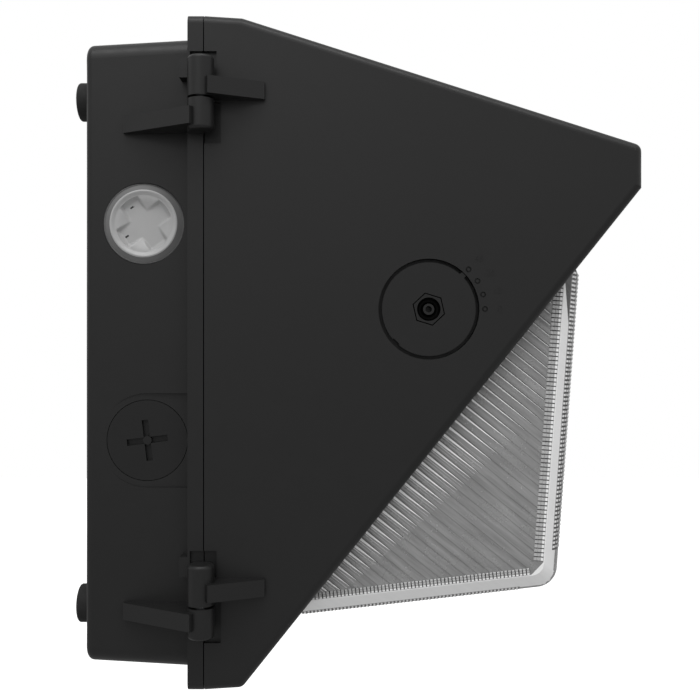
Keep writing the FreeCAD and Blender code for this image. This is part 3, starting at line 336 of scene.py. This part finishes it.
def steel():
    """Zinc-plated steel with a faint drawn grain."""
    shader = Shader("zinc_plated_steel", Metallic=1.0)
    shader.tint(shader.noise(120.0), (0.47, 0.48, 0.5), (0.6, 0.6, 0.6))
    grain = shader.noise(300.0, 3.0, shader.stretched((1.0, 1.0, 9.0)))
    shader.rough(grain, 0.24, 0.42)
    shader.bump(grain, 0.00001, 0.3)
    return shader.material


def window():
    """Frosted, slightly translucent moulding in front of the light sensor."""
    shader = Shader("frosted_window", Transmission_Weight=0.18, IOR=1.49)
    shader.tint(shader.noise(140.0), grey(0.41), grey(0.48))
    shader.rough(shader.noise(500.0), 0.3, 0.42)
    shader.bump(shader.noise(900.0), 0.00004, 0.3)
    return shader.material


def window_flange():
    """The window's thin flange, darker because the casting shows through it."""
    shader = Shader("window_flange", Specular_IOR_Level=0.2)
    shader.tint(shader.noise(140.0), grey(0.12), grey(0.17))
    shader.rough(shader.noise(500.0), 0.4, 0.5)
    shader.bump(shader.noise(900.0), 0.00003, 0.3)
    return shader.material


def window_slot():
    """Painted shade for small slots that open into the window, drawn flat on its front."""
    shader = Shader("window_slot")
    shader.tint(shader.noise(400.0), grey(0.01), grey(0.02))
    shader.rough(shader.noise(500.0), 0.5, 0.6)
    shader.bump(shader.noise(900.0), 0.00003, 0.3)
    return shader.material


def moulded(name, low, high, smooth, rough):
    shader = Shader(name)
    shader.tint(shader.noise(70.0), low, high)
    shader.rough(shader.noise(350.0), smooth, rough)
    shader.bump(shader.noise(1700.0, 4.0), 0.00004, 0.4)
    return shader.material


def cell():
    return moulded("black_moulding", grey(0.035), grey(0.055), 0.4, 0.55)


def plug():
    return powder_coat("plug_moulding", 0.008, 0.44, 1700.0)


def lead():
    return moulded("wire_insulation", grey(0.06), grey(0.09), 0.35, 0.5)


def terminal():
    return moulded("off_white_moulding", (0.68, 0.68, 0.64), (0.76, 0.76, 0.73), 0.38, 0.5)


def extruded(name, low, high, stretch):
    """Bare aluminium with drawing lines along one direction."""
    shader = Shader(name, Metallic=1.0)
    lines = shader.noise(60.0, 4.0, shader.stretched(stretch))
    shader.tint(lines, low, high)
    shader.rough(lines, 0.32, 0.48)
    shader.bump(lines, 0.00002, 0.35)
    return shader.material


def driver_case():
    return extruded("driver_case_aluminium", grey(0.52), grey(0.63), (0.6, 14.0, 14.0))


def aluminium():
    return extruded("extruded_aluminium", grey(0.58), grey(0.7), (0.6, 14.0, 14.0))


def ground():
    shader = Shader("green_passivated", Metallic=0.9)
    shader.tint(shader.noise(150.0), (0.1, 0.26, 0.09), (0.17, 0.37, 0.13))
    shader.rough(shader.noise(400.0), 0.3, 0.45)
    shader.bump(shader.noise(1500.0), 0.00002, 0.3)
    return shader.material


def board():
    """White solder mask with the faint relief of the tracks under it."""
    shader = Shader("solder_mask", Coat_Weight=0.3)
    tracks = shader.noise(160.0, 1.0)
    shader.tint(tracks, (0.76, 0.77, 0.75), (0.84, 0.84, 0.83))
    shader.rough(shader.noise(500.0), 0.28, 0.4)
    shader.bump(tracks, 0.00004, 0.5)
    return shader.material


def led():
    shader = Shader("led_phosphor", Coat_Weight=0.5)
    shader.tint(shader.noise(900.0), (0.8, 0.62, 0.13), (0.93, 0.76, 0.22))
    shader.rough(shader.noise(700.0), 0.3, 0.45)
    shader.bump(shader.noise(2500.0), 0.00003, 0.3)
    return shader.material


def moulded_glass(name, low, high, clear, smooth, rough):
    """Clear moulding: its streaks run square to the hood's slanting edge, as the ribs do."""
    shader = Shader(name, Transmission_Weight=clear, IOR=1.49, Coat_Weight=0.15)
    both = shader.add("ShaderNodeCombineXYZ")
    for number, way in enumerate((across(slant_way) * 12.0, across(slant_out))):
        dot = shader.add("ShaderNodeVectorMath", operation="DOT_PRODUCT")
        shader.join(shader.place, dot.inputs[0])
        dot.inputs[1].default_value = way
        shader.join(dot.outputs["Value"], both.inputs[number])
    streaks = shader.noise(55.0, 4.0, both.outputs[0])
    shader.tint(shader.ramp(streaks, 0.0, 1.0), grey(low), grey(high))
    shader.rough(shader.noise(260.0), smooth, rough)
    shader.bump(shader.noise(600.0), 0.00002, 0.3)
    return shader.material


def prism_faces():
    return moulded_glass("prism_faces", 0.25, 0.38, 0.25, 0.2, 0.3)


# painted highlight: near-white faces where the prisms would catch the light
def flash_faces():
    return moulded_glass("prism_painted_glints", 0.86, 0.93, 0.02, 0.15, 0.25)


# painted shade: near-black faces at the prisms' feet, between the pads and in the hood's painted
# reflection
def line_faces():
    return moulded_glass("prism_painted_dark", 0.05, 0.1, 0.1, 0.25, 0.35)


# dimmer painted shade: the riser lines far from the hood's edge
def shade_faces():
    return moulded_glass("prism_painted_dim", 0.17, 0.26, 0.2, 0.2, 0.3)


# painted half light: pads and crests made lighter, as if lit
def pad_faces():
    return moulded_glass("prism_painted_half_light", 0.5, 0.62, 0.2, 0.15, 0.25)


# painted light: the clear band near white, standing in for the bright backdrop seen through it
def clear_band():
    return moulded_glass("clear_band", 0.9, 0.94, 0.05, 0.08, 0.12)


FINISHES = {
    "casting": casting, "dial": dial, "dark_steel": dark_steel, "rubber": rubber, "steel": steel,
    "window": window, "cell": cell, "plug": plug, "driver_case": driver_case, "lead": lead,
    "terminal": terminal, "ground": ground, "refractor": prism_faces, "aluminium": aluminium,
    "board": board, "led": led,
}


def dress_nodes():
    """Every CAD node gets the finish of its slot in the record."""
    made = {}
    for part in frame["record"]["subparts"]:
        slot = part["material_slot"]
        if slot not in made:
            made[slot] = FINISHES[slot]()
        slots = frame["nodes"][part["node"]].data.materials
        slots.clear()
        slots.append(made[slot])
    return made


# ==== prismatic refractor =========================================================================
class Edge:
    """One straight edge of the refractor's side face, from the toe."""

    def __init__(self, start, end, outward):
        self.start = start
        self.length = (end - start).length
        self.way = (end - start).normalized()
        self.out = Vector((self.way.y, -self.way.x))
        if self.out.dot(outward) < 0:
            self.out = -self.out

    def along(self, point):
        return (flat_place(point) - self.start).dot(self.way)

    def beyond(self, point):
        """How far the point is outside the edge; negative inside the face."""
        return (flat_place(point) - self.start).dot(self.out)


front_edge = Edge(toe, brow, Vector((1.0, 0.0)))
bottom_edge = Edge(toe, heel, Vector((0.0, -1.0)))


def slant_run(point):
    return (flat_place(point) - knee).dot(slant_way)


def slant_depth(point):
    return (flat_place(point) - knee).dot(slant_out)


class Cutter:
    """Scores chosen faces of a mesh with straight lines."""

    def __init__(self, mesh, faces):
        self.mesh = mesh
        self.faces = set(faces)

    def score(self, place, square):
        self.score_all([place], square)

    def score_all(self, places, square):
        """Parallel lines through these places, which go up along the direction square to them."""
        ahead, done = self.faces, set()
        for place in places:
            geometry = {item for face in ahead for item in (face, *face.edges, *face.verts)}
            cut = bmesh.ops.bisect_plane(self.mesh, geom=list(geometry), plane_co=place, plane_no=square,
                                         dist=cut_snap)
            split = {item for item in cut["geom"] if isinstance(item, bmesh.types.BMFace)}
            ahead = {face for face in split if (face.calc_center_median() - place).dot(square) > 0}
            done |= split - ahead
        self.faces = ahead | done

    def keep(self, test):
        """The faces whose middle passes the test, as a cutter of their own."""
        chosen = [face for face in self.faces if test(face.calc_center_median())]
        return Cutter(self.mesh, chosen)

    def verts(self):
        return {vert for face in self.faces for vert in face.verts}


def repeat(low, high, pitch):
    """Places a pitch apart between two limits."""
    count = int((high - low) / pitch)
    return [low + pitch * i for i in range(count + 1)]


def side_faces(mesh, side):
    """The flat faces that lie in the plane of the refractor's side."""
    return [face for face in mesh.faces if face.normal.x * side > 0.999
            and abs(face.calc_center_median().x * side - lens_side) < plane_snap]


class RibLine:
    """A line of the sawtooth: its place in a rib and its height, far from the hood's edge and at it.

    The finishes, painted light and shade among them, are those of the strip that begins at the line.
    """

    def __init__(self, far, near, far_height, near_height, far_finish, near_finish):
        self.far, self.near = far * MM, near * MM
        self.far_height, self.near_height = far_height * MM, near_height * MM
        self.far_finish, self.near_finish = far_finish, near_finish


RIB = (
    # near the hood's edge the risers' wedges carry a painted highlight and their feet painted shade
    RibLine(0.00, -0.66, 0.16, 0.62, PAINTED_DIM, PAINTED_GLINT),     # riser, a bright wedge near the edge
    RibLine(0.05, 0.24, 0.02, 0.00, PAINTED_DIM, PAINTED_DARK),       # its dark foot
    RibLine(0.34, 0.60, 0.01, 0.04, PRISM, PRISM),
    RibLine(1.14, 1.06, 0.05, 0.22, PRISM, PAINTED_HALF_LIGHT),        # two fine steps on the wide face
    RibLine(1.19, 1.24, 0.05, 0.16, PRISM, PRISM),
    RibLine(2.04, 1.98, 0.10, 0.40, PRISM, PAINTED_GLINT),
    RibLine(2.09, 2.12, 0.10, 0.34, PRISM, PRISM),
)


def taper_end(run):
    """How far out of the hood's edge the wedges at a place along it reach."""
    return wedge_reach + wedge_slope * (run - wedge_run)


def rib_strength(run):
    """How wide the wedges are at a place along the hood's edge, from 0 to 1."""
    rise = (run - strength_from) / strength_rise
    fall = (strength_to - run) / strength_fall
    return max(strength_least, min(1.0, rise, fall))


def inside_ribs(point):
    """How far a point lies inside the ribs' zone; negative outside it."""
    return min(slant_depth(point) - hood_gap, -front_edge.beyond(point) - edge_gap - front_strip,
               -bottom_edge.beyond(point) - edge_gap - bottom_strip)


def score_zones(panel):
    """The lines round the ribs' zone and the line where their wedges end."""
    for out in (hood_gap, hood_gap + fade):
        panel.score(deep(knee + slant_out * out), across(slant_out))
    bend = taper_end(1.0) - taper_end(0.0)
    square = (slant_out - slant_way * bend).normalized()
    panel.score(deep(knee + slant_out * taper_end(0.0)), across(square))
    for edge, width in ((front_edge, front_strip), (bottom_edge, bottom_strip)):
        for inside in (edge_gap, edge_gap + width, edge_gap + width + fade):
            panel.score(deep(edge.start - edge.out * inside), across(edge.out))


def rib_finishes(ribs):
    # painted highlight on the wedges near the hood's edge, painted shade at their feet and further out
    for face in ribs.faces:
        middle = face.calc_center_median()
        run = slant_run(middle)
        part = (run - ribs_first) % rib_pitch
        line = [line for line in RIB if line.far < part][-1]
        near = slant_depth(middle) < taper_end(run)
        face.material_index = line.near_finish if near else line.far_finish
        if line.far > fine_steps_from and run > fine_steps_end:
            face.material_index = PRISM


def rib_heights(ribs, side):
    """Lifts and shifts the ribs' lines, most at the hood's edge and least at the wedges' end."""
    for vert in ribs.verts():
        if inside_ribs(vert.co) < fade * 0.5:
            continue
        run = slant_run(vert.co)
        part = (run - ribs_first + rib_snap) % rib_pitch - rib_snap
        near = 1.0 - min(1.0, max(0.0, slant_depth(vert.co) / taper_end(run)))
        level = near * (rib_least + (1.0 - rib_least) * rib_strength(run))
        found = [line for line in RIB if abs(line.far - part) < rib_snap]
        if found:
            line = found[0]
            shift = (line.near - line.far) * near * rib_strength(run)
            height = line.far_height + (line.near_height - line.far_height) * level
            vert.co += across(slant_way) * shift + Vector((side * height, 0.0, 0.0))


def toe_corner(panel):
    """A plain triangle at the toe, where the two strips of pads would meet."""
    line = toe + (front_edge.way + bottom_edge.way) * pads_toe_gap * 0.5
    way = (front_edge.way - bottom_edge.way).normalized()
    inwards = Vector((way.y, -way.x))
    if inwards.dot(toe - line) > 0:
        inwards = -inwards

    def at_toe(point):
        return front_edge.along(point) < pads_toe_gap or bottom_edge.along(point) < pads_toe_gap

    corner = panel.keep(at_toe)
    corner.score(deep(line), across(inwards))
    for face in corner.faces:
        middle = face.calc_center_median()
        at_edge = max(front_edge.beyond(middle), bottom_edge.beyond(middle)) > -edge_gap
        if (flat_place(middle) - line).dot(inwards) > 0 and not at_edge:
            face.material_index = PRISM


def rib_side(mesh, side):
    """Sawtooth ribs square to the hood's slanting edge, wide at that edge and fine further down."""
    panel = Cutter(mesh, side_faces(mesh, side))
    score_zones(panel)
    ribs = panel.keep(lambda point: inside_ribs(point) > 0)
    lines = [place + line.far for place in repeat(ribs_first, ribs_last, rib_pitch) for line in RIB]
    ribs.score_all([deep(knee + slant_way * line) for line in lines], across(slant_way))
    rib_finishes(ribs)
    rib_heights(ribs, side)
    toe_corner(panel)
    panel = Cutter(mesh, side_faces(mesh, side))
    pads_side(panel, side, front_edge, front_strip, bar_pitch)
    pads_side(panel, side, bottom_edge, bottom_strip, dash_pitch)


def score_pads(panel, edge, width, pitch):
    """Lines round the pads in the strip along an edge; gives that strip."""
    strip = panel.keep(lambda point: (-edge_gap - width < edge.beyond(point) < -edge_gap
                                      and slant_depth(point) > hood_gap))
    row = width / pad_rows
    for index in range(pad_rows):
        for off in (pad_bevel, row - pad_bevel, row):
            inside = edge_gap + index * row + off
            if inside < edge_gap + width - pad_bevel / 2:
                strip.score(deep(edge.start - edge.out * inside), across(edge.out))
    lines = [place + off for place in repeat(pads_toe_gap, edge.length + 2 * pitch, pitch)
             for off in (0.0, pad_bevel, pitch - pad_bevel)]
    strip.score_all([deep(edge.start + edge.way * line) for line in lines], across(edge.way))
    return strip


def pads_side(panel, side, edge, width, pitch):
    """Small square pads in rows along an edge of the side face."""
    strip = score_pads(panel, edge, width, pitch)
    row = width / pad_rows
    for face in strip.faces:
        middle = face.calc_center_median()
        inside = -edge.beyond(middle) - edge_gap
        along = edge.along(middle) - pads_toe_gap
        on_bar = not pad_bevel < along % pitch < pitch - pad_bevel
        on_row = pad_bevel < inside % row < row - pad_bevel
        if along > 0:
            # painted shade on the bars between pads, painted highlight on the first row, painted half
            # light on the rest
            face.material_index = PAINTED_DARK if on_bar else PAINTED_GLINT if inside < row and on_row else PAINTED_HALF_LIGHT
    for vert in strip.verts():
        part_in = (-edge.beyond(vert.co) - edge_gap) % row
        along = edge.along(vert.co) - pads_toe_gap
        flat_in = pad_bevel - pad_snap < part_in < row - pad_bevel + pad_snap
        flat_along = pad_bevel - pad_snap < along % pitch < pitch - pad_bevel + pad_snap
        if along > 0 and flat_in and flat_along and slant_depth(vert.co) > relief_gap:
            vert.co.x += side * pad_high


def bow_skin(mesh, edge, band):
    """The bowed faces beside an edge, up to the hood."""
    out = across(edge.out)

    def on_skin(face):
        middle = face.calc_center_median()
        return (face.normal.dot(out) > bow_facing and abs(middle.x) < lens_side - band - pad_snap
                and edge.beyond(middle) > band * past_band and slant_depth(middle) > -bow_end_gap)

    skin = Cutter(mesh, [face for face in mesh.faces if on_skin(face)])
    skin.score(deep(edge.start + edge.way * bow_toe_gap), across(edge.way))
    skin.score(deep(knee + slant_out * hood_gap), across(slant_out))
    return skin.keep(lambda point: edge.along(point) > bow_toe_gap and slant_depth(point) > hood_gap)


def rib_bow(mesh, edge, band, pitch, high):
    """Prisms across the refractor's bowed front or underside, broken into dots near the edge band."""
    skin = bow_skin(mesh, edge, band)
    half = pitch / 2
    first = lens_side - band - dot_from_band
    breaks = (first, first - dot_wide, first - dot_wide - dot_gap, first - 2 * dot_wide - dot_gap,
              first - 2 * dot_wide - 2 * dot_gap)
    for x in breaks:
        for side in (-1, 1):
            skin.score(Vector((side * x, 0.0, 0.0)), Vector((1.0, 0.0, 0.0)))
    lines = repeat(bow_toe_gap + half, edge.length + bow_past, half)
    skin.score_all([deep(edge.start + edge.way * line) for line in lines], across(edge.way))
    for face in skin.faces:
        middle = face.calc_center_median()
        on_crest = math.floor((edge.along(middle) - bow_toe_gap) / half) % 2 == 1
        x = abs(middle.x)
        # painted highlight on the dots' crests, painted shade round them, painted half light on the other
        # crests
        if breaks[-1] < x < first:
            on_dot = any(breaks[index + 1] < x < breaks[index] for index in (0, 2))
            face.material_index = PAINTED_GLINT if on_dot and on_crest else PAINTED_DARK
        else:
            face.material_index = PAINTED_HALF_LIGHT if on_crest else PRISM
    for vert in skin.verts():
        step = (edge.along(vert.co) - bow_toe_gap) / half
        crest = abs(step - round(step)) < 0.02 and round(step) % 2 == 1
        x = abs(vert.co.x)
        plain = x > first - pad_snap or any(abs(x - line) < pad_snap for line in breaks)
        if crest and not plain and slant_depth(vert.co) > relief_gap:
            vert.co += across(edge.out) * high


def hood_shade(mesh, side):
    """Painted reflection: a dark patch at the top of the front edge band, standing in for the hood that
    the clear band shows behind it.
    """

    def on_band(face):
        middle = face.calc_center_median()
        return (face.normal.x * side > side_facing
                and lens_side - front_band < middle.x * side < lens_side
                and 0.0 < front_edge.beyond(middle) < front_band * near_band)

    top = front_edge.start + front_edge.way * front_edge.length
    low = top - front_edge.way * hood_reflection_reach + front_edge.out * front_band
    way = (top - low).normalized()
    outside = Vector((way.y, -way.x))
    cutter = Cutter(mesh, [face for face in mesh.faces if on_band(face)])
    cutter.score(deep(low), across(outside))
    for face in cutter.faces:
        if (flat_place(face.calc_center_median()) - low).dot(outside) > 0:
            face.material_index = PAINTED_DARK


def joined_lens():
    """The refractor's mesh with its flat faces whole and the clear band, painted bright, beside the side
    faces.
    """
    mesh = bmesh.new()
    mesh.from_mesh(frame["nodes"]["refractor"].data)
    bmesh.ops.remove_doubles(mesh, verts=mesh.verts, dist=weld)
    bmesh.ops.dissolve_limit(mesh, angle_limit=math.radians(flat_angle), verts=mesh.verts,
                              edges=mesh.edges)
    mesh.normal_update()
    for face in mesh.faces:
        middle = face.calc_center_median()
        if abs(middle.x) > lens_side - side_border and slant_depth(middle) > 0:
            face.material_index = BAND_PAINTED_BRIGHT
    return mesh


def prismatic_refractor():
    mesh = joined_lens()
    for side in (-1, 1):
        hood_shade(mesh, side)
        rib_side(mesh, side)
    rib_bow(mesh, front_edge, front_band, bar_pitch, front_crest)
    rib_bow(mesh, bottom_edge, bottom_band, dash_pitch, bottom_crest)
    bmesh.ops.remove_doubles(mesh, verts=mesh.verts, dist=weld)
    finishes = (prism_faces(), flash_faces(), line_faces(), clear_band(), shade_faces(), pad_faces())
    data = smooth_data("prismatic_refractor", mesh, lens_sharp, finishes)
    piece = add_object("prismatic_refractor", data)
    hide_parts("refractor")
    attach(piece, "hood")
    return piece


# ==== photocell window ============================================================================
def smooth_step(low, high, value):
    part = min(1.0, max(0.0, (value - low) / (high - low)))
    return part * part * (3.0 - 2.0 * part)


def window_sink(radius, angle):
    """How far the window's front lies behind its ridge: sloping flange with a lip, dish, cross."""
    if radius > ridge_r:
        slope = smooth_step(ridge_r, ridge_r + ridge_width, radius) * ridge_drop
        slope += max(0.0, radius - ridge_r - flange_gap) * flange_slope
        lip = smooth_step(window_r - lip_from, window_r - lip_to, radius)
        return slope - lip * lip_high
    if radius > dish_r:
        return rim_drop * (1.0 - smooth_step(dish_r, ridge_r, radius))
    lobe = rim_drop + cross_deep * (1.0 - smooth_step(lobe_tip, dish_r, radius))
    turn = angle - math.radians(cross_turn)
    u, v = abs(radius * math.cos(turn)), abs(radius * math.sin(turn))
    arm = 1.0 - smooth_step(cross_half - cross_bevel / 2, cross_half + cross_bevel / 2, min(u, v))
    arm *= 1.0 - smooth_step(cross_reach - 2.0 * cross_bevel, cross_reach, max(u, v))
    return lobe + arm * (rim_drop + cross_deep - lobe)


def window_front(mesh, middle, radius, x):
    return lay_ring(mesh, middle, radius, window_count, lambda angle: x + window_sink(radius, angle))


def window_finishes(mesh, middle):
    """0 for the body, 1 for the flange and 2 for the painted shade of the small slots."""
    for face in mesh.faces:
        place = flat_place(face.calc_center_median()) - middle
        face.material_index = 1 if place.length > ridge_r + flange_finish_gap else 0
        for slot_place in window_slots:
            off = place - slot_place
            along = off.dot(slot_way)
            if abs(along) < slot_half_long and (off - slot_way * along).length < slot_half_wide:
                face.material_index = 2


def moulded_window():
    """The screwed window, turned about its axis, with its front's relief."""
    source = frame["nodes"]["photocell_window"]
    low, high = Vector(source.bound_box[0]), Vector(source.bound_box[6])
    middle = Vector((-(low.y + high.y) / 2, (low.z + high.z) / 2))
    mesh = bmesh.new()
    rings = [window_front(mesh, middle, window_r * (index + 1) / window_rings, low.x)
             for index in range(window_rings)]
    back = low.x + window_head
    web = back + window_web
    for radius, x in ((window_r, back), (barrel_r, back), (barrel_r, high.x), (window_bore_r, high.x),
                      (window_bore_r, web)):
        rings.append(lay_ring(mesh, middle, radius, window_count, lambda angle: x))
    join_rings(mesh, rings)
    for ring, x in ((rings[0], low.x + window_sink(0.0, 0.0)), (rings[-1], web)):
        tip = mesh.verts.new((x, -middle.x, middle.y))
        for index in range(window_count):
            mesh.faces.new((tip, ring[index], ring[(index + 1) % window_count]))
    bmesh.ops.recalc_face_normals(mesh, faces=mesh.faces)
    window_finishes(mesh, middle)
    finishes = (window(), window_flange(), window_slot())
    piece = add_object("moulded_window", smooth_data("moulded_window", mesh, window_sharp, finishes))
    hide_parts("photocell_window")
    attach(piece, "housing")
    return piece


# ==== painted shade: a near-black fill round the lock bolts' cores ================================
def seal_outline():
    """Radius and depth below the bolt's face, over the hollow surface and back along the bottom."""
    outline = []
    for step in range(recess_shade_steps + 1):
        part = step / recess_shade_steps
        sink = recess_shade_level + recess_shade_hollow * (1.0 - (2.0 * part - 1.0) ** 2)
        outline.append((recess_shade_core_r + (recess_shade_wall_r - recess_shade_core_r) * part, sink))
    return outline + [(recess_shade_wall_r, recess_shade_bottom), (recess_shade_core_r, recess_shade_bottom)]


def bolt_seal(side):
    """Painted shade: a near-black fill with a hollow surface in the recess of a lock bolt's head."""
    face_x = hood_side - bolt_face_drop
    mesh = bmesh.new()
    rings = [lay_ring(mesh, pivot, radius, recess_shade_count, lambda angle: side * (face_x - sink))
             for radius, sink in seal_outline()]
    join_rings(mesh, rings + rings[:1])
    bmesh.ops.recalc_face_normals(mesh, faces=mesh.faces)
    data = smooth_data("bolt_seal", mesh, recess_shade_sharp, (sealant(),))
    piece = add_object(f"{side_label(side)}_bolt_seal", data)
    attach(piece, "module")
    return piece


# ==== dial numbers ================================================================================
def dial_number(text, angle, side, finish):
    """A small raised number beside a mark of the dial's scale, on the hood's side."""
    curve = bpy.data.curves.new("number", "FONT")
    curve.body = text
    curve.size = number_size
    curve.align_x = "CENTER"
    curve.align_y = "CENTER"
    curve.extrude = number_high
    curve.resolution_u = 4
    depth = pivot.x + number_reach * math.cos(math.radians(angle))
    height = pivot.y + number_reach * math.sin(math.radians(angle))
    holder = add_object("number", curve)
    turn = facing(Vector((0.0, side, 0.0)))
    holder.matrix_world = Matrix.Translation((side * hood_side, -depth, height)) @ turn
    bpy.context.view_layer.update()
    data = bpy.data.meshes.new_from_object(holder)
    data.transform(holder.matrix_world)
    bpy.data.objects.remove(holder)
    data.materials.clear()
    data.materials.append(finish)
    piece = add_object(f"{side_label(side)}_scale_number_{text}", data)
    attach(piece, "hood")
    return piece


def scale_numbers(finish):
    for side in (-1, 1):
        for angle in number_angles:
            dial_number(str(angle), angle, side, finish)


# ==== stage =======================================================================================
def add_camera():
    data = bpy.data.cameras.new("camera")
    data.lens = camera_lens
    data.sensor_width = camera_sensor
    data.clip_start = 0.01
    data.clip_end = 60.0
    camera = add_object("camera", data)
    camera.matrix_world = Matrix.Translation(camera_place) @ facing(Vector((0.0, -1.0, 0.0)))
    bpy.context.scene.camera = camera
    bpy.context.scene.view_settings.view_transform = "Standard"


def add_world():
    """White for the camera and through glass, and a grey sky that lights the object."""
    world = bpy.data.worlds.new("studio")
    world.use_nodes = True
    tree = world.node_tree
    tree.nodes.clear()
    place = tree.nodes.new("ShaderNodeTexCoord")
    split = tree.nodes.new("ShaderNodeSeparateXYZ")
    tree.links.new(place.outputs["Generated"], split.inputs[0])
    rise = tree.nodes.new("ShaderNodeMapRange")
    tree.links.new(split.outputs["Z"], rise.inputs["Value"])
    rise.inputs["From Min"].default_value = -horizon
    rise.inputs["From Max"].default_value = horizon
    rise.inputs["To Min"].default_value = sky_below
    rise.inputs["To Max"].default_value = sky_above
    sky = tree.nodes.new("ShaderNodeBackground")
    sky.inputs["Color"].default_value = WHITE
    tree.links.new(rise.outputs["Result"], sky.inputs["Strength"])
    white = tree.nodes.new("ShaderNodeBackground")
    white.inputs["Color"].default_value = WHITE
    path = tree.nodes.new("ShaderNodeLightPath")
    seen = tree.nodes.new("ShaderNodeMath")
    seen.operation = "MAXIMUM"
    tree.links.new(path.outputs["Is Camera Ray"], seen.inputs[0])
    tree.links.new(path.outputs["Is Transmission Ray"], seen.inputs[1])
    mix = tree.nodes.new("ShaderNodeMixShader")
    tree.links.new(seen.outputs[0], mix.inputs[0])
    tree.links.new(sky.outputs[0], mix.inputs[1])
    tree.links.new(white.outputs[0], mix.inputs[2])
    out = tree.nodes.new("ShaderNodeOutputWorld")
    tree.links.new(mix.outputs[0], out.inputs["Surface"])
    bpy.context.scene.world = world


def floor_shader():
    """Pale floor that shows white to the camera and keeps the object's shadow."""
    shader = Shader("pale_floor")
    shader.tint(shader.noise(3.0), grey(0.5), grey(0.52))
    shader.rough(shader.noise(9.0), 0.75, 0.85)
    path = shader.add("ShaderNodeLightPath")
    seen = shader.add("ShaderNodeMath", operation="MAXIMUM")
    shader.join(path.outputs["Is Camera Ray"], seen.inputs[0])
    shader.join(path.outputs["Is Transmission Ray"], seen.inputs[1])
    level = shader.add("ShaderNodeMath", operation="MULTIPLY")
    shader.join(seen.outputs[0], level.inputs[0])
    level.inputs[1].default_value = backdrop_glow
    glow = shader.add("ShaderNodeEmission")
    shader.join(level.outputs[0], glow.inputs["Strength"])
    both = shader.add("ShaderNodeAddShader")
    shader.join(shader.base.outputs["BSDF"], both.inputs[0])
    shader.join(glow.outputs[0], both.inputs[1])
    shader.join(both.outputs[0], shader.out.inputs["Surface"])
    return shader.material


def add_floor():
    data = bpy.data.meshes.new("floor")
    corners = [(x * floor_half, y * floor_half, floor_z) for x, y in ((-1, -1), (1, -1), (1, 1), (-1, 1))]
    data.from_pydata(corners, [], [(0, 1, 2, 3)])
    data.materials.append(floor_shader())
    add_object("floor", data)


def add_lamp(name, place, size, power):
    data = bpy.data.lights.new(name, "AREA")
    data.shape = "RECTANGLE"
    data.size, data.size_y = size
    data.energy = power
    lamp = add_object(name, data)
    aim = Vector(lamp_target) - Vector(place)
    lamp.matrix_world = Matrix.Translation(place) @ aim.to_track_quat("-Z", "Y").to_matrix().to_4x4()


def add_lamps():
    for lamp in LAMPS:
        add_lamp(*lamp)


made = dress_nodes()
prismatic_refractor()
moulded_window()
# painted shade in the lock bolts' recesses
for shade_side in (-1, 1):
    bolt_seal(shade_side)
scale_numbers(made["casting"])
add_camera()
add_world()
add_floor()
add_lamps()
